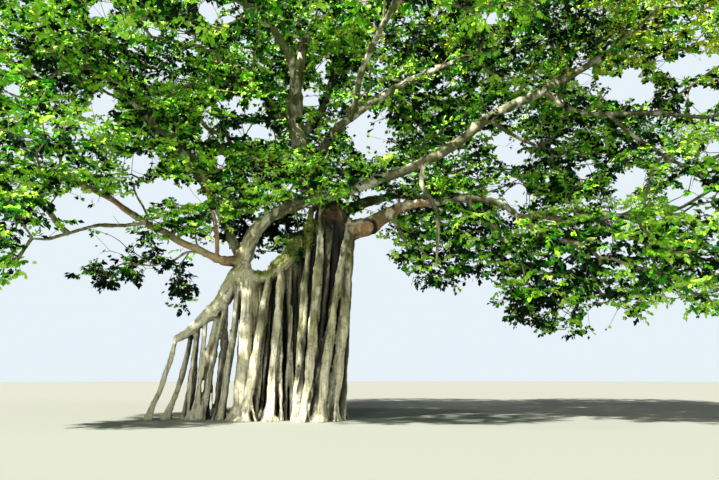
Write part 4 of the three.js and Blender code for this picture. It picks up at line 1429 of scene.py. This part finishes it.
def make_stage():
    """A plain pale floor and backdrop, the lamps and the camera at the photo's angle."""
    bpy.ops.mesh.primitive_plane_add(size=600, location=(0, 200, -0.003))
    look = Look("floor", 0.9)
    look.set("Base Color", FLOOR_COLOUR)
    stage_piece("floor", look)

    bpy.ops.mesh.primitive_uv_sphere_add(segments=48, ring_count=24, radius=420)
    look = Look("backdrop")
    look.set("Base Color", (0, 0, 0))
    look.set("Specular IOR Level", 0)
    look.set("Emission Color", BACKDROP_COLOUR)
    look.set("Emission Strength", 0.95)
    for rays in ("diffuse", "glossy", "transmission", "volume_scatter", "shadow"):
        setattr(bpy.context.object, "visible_" + rays, False)
    stage_piece("backdrop", look)

    world = bpy.data.worlds.new("studio")
    bpy.context.scene.world = world
    world.use_nodes = True
    background = world.node_tree.nodes["Background"]
    background.inputs["Color"].default_value = (0.8, 0.9, 1, 1)
    background.inputs["Strength"].default_value = 0.2

    for name, (turn, tilt, power, size, colour) in LAMPS.items():
        lamp = bpy.data.lights.new(name, "SUN")
        lamp.energy = power
        lamp.angle = math.radians(size)
        lamp.color = colour
        link(name, lamp).rotation_euler = (math.radians(90 - tilt), 0, math.radians(turn))

    lens = bpy.data.cameras.new("camera")
    lens.sensor_width = SENSOR_WIDTH
    lens.lens = FOCAL_PIXELS * SENSOR_WIDTH / IMAGE_WIDTH
    lens.clip_end = 900
    camera = link("camera", lens)
    camera.location = EYE
    camera.rotation_euler = (math.pi / 2 + PITCH, 0, 0)
    bpy.context.scene.camera = camera
    bpy.context.scene.view_settings.view_transform = "Standard"


def make_bark():
    """The fused trunks, the boughs and the moss, in place of all limbs and roots."""
    bark = bark_look()
    left_piece, main_piece = make_trunks()
    bough_piece = make_boughs()
    add_marks(left_piece)
    marks = add_marks(main_piece)
    add_marks(bough_piece, hollow=False)
    moss_piece = moss_tufts(main_piece, marks)
    fused_left = ["left_trunk", "strut_limb", "arch_bough"] + [n for n in LEFT_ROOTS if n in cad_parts]
    fused_main = ["main_trunk", "right_bough"]
    fused_main += [n for n in {**BRIDGE_ROOTS, **TRUNK_ROOTS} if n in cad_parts]
    others = [n for n in LIMBS if n not in fused_left + fused_main + ["bridge_limb"]]
    finish_piece(left_piece, bark, fused_left)
    finish_piece(main_piece, bark, fused_main)
    finish_piece(bough_piece, bark, others)
    finish_piece(moss_piece, moss_look(), ["bridge_limb"])


def make_crown():
    """The twigs, and the leaves as one piece for each tint, in place of the leaf masses."""
    ends, lights, leaf_sizes = mass_ends()
    points, parent, heading, seed_count, order = grow(ends)
    points = eased(points, parent, seed_count)
    base, way, wide, face, length, twiglet, stems = place_leaves(points, heading, seed_count)
    finish_piece(make_twigs(points, parent, seed_count, order, stems), twig_look())

    middle = base + way * length[:, None] / 2
    low, high = np.array(CAD_BOX[0]) - LEAF_REACH, np.array(CAD_BOX[1]) + LEAF_REACH
    kept = ((middle > low) & (middle < high)).all(1) & ~(in_sky(middle) | hides_limb(middle))
    leaves_on = np.bincount(twiglet)[:, None]
    centres = np.stack([np.bincount(twiglet, base[:, k]) for k in range(3)], 1) / leaves_on
    tint_of_twiglet = deal_tints(centres, np.repeat(lights, TWIGLETS))
    for number, (name, (colour, _, size)) in enumerate(TINTS.items()):
        mine = kept & (tint_of_twiglet[twiglet] == number)
        lengths = length[mine] * np.minimum(size * leaf_sizes[twiglet[mine] // TWIGLETS], LARGEST_LEAF)
        shaded = number < DEEP_TINTS
        leaves = leaf_object(name, base[mine], way[mine], wide[mine], face[mine], lengths, shaded)
        replaced = [n for i, n in enumerate(MASS_NAMES) if i % len(TINTS) == number]
        finish_piece(leaves, leaf_look(name, colour), replaced)


make_stage()
make_bark()
make_crown()
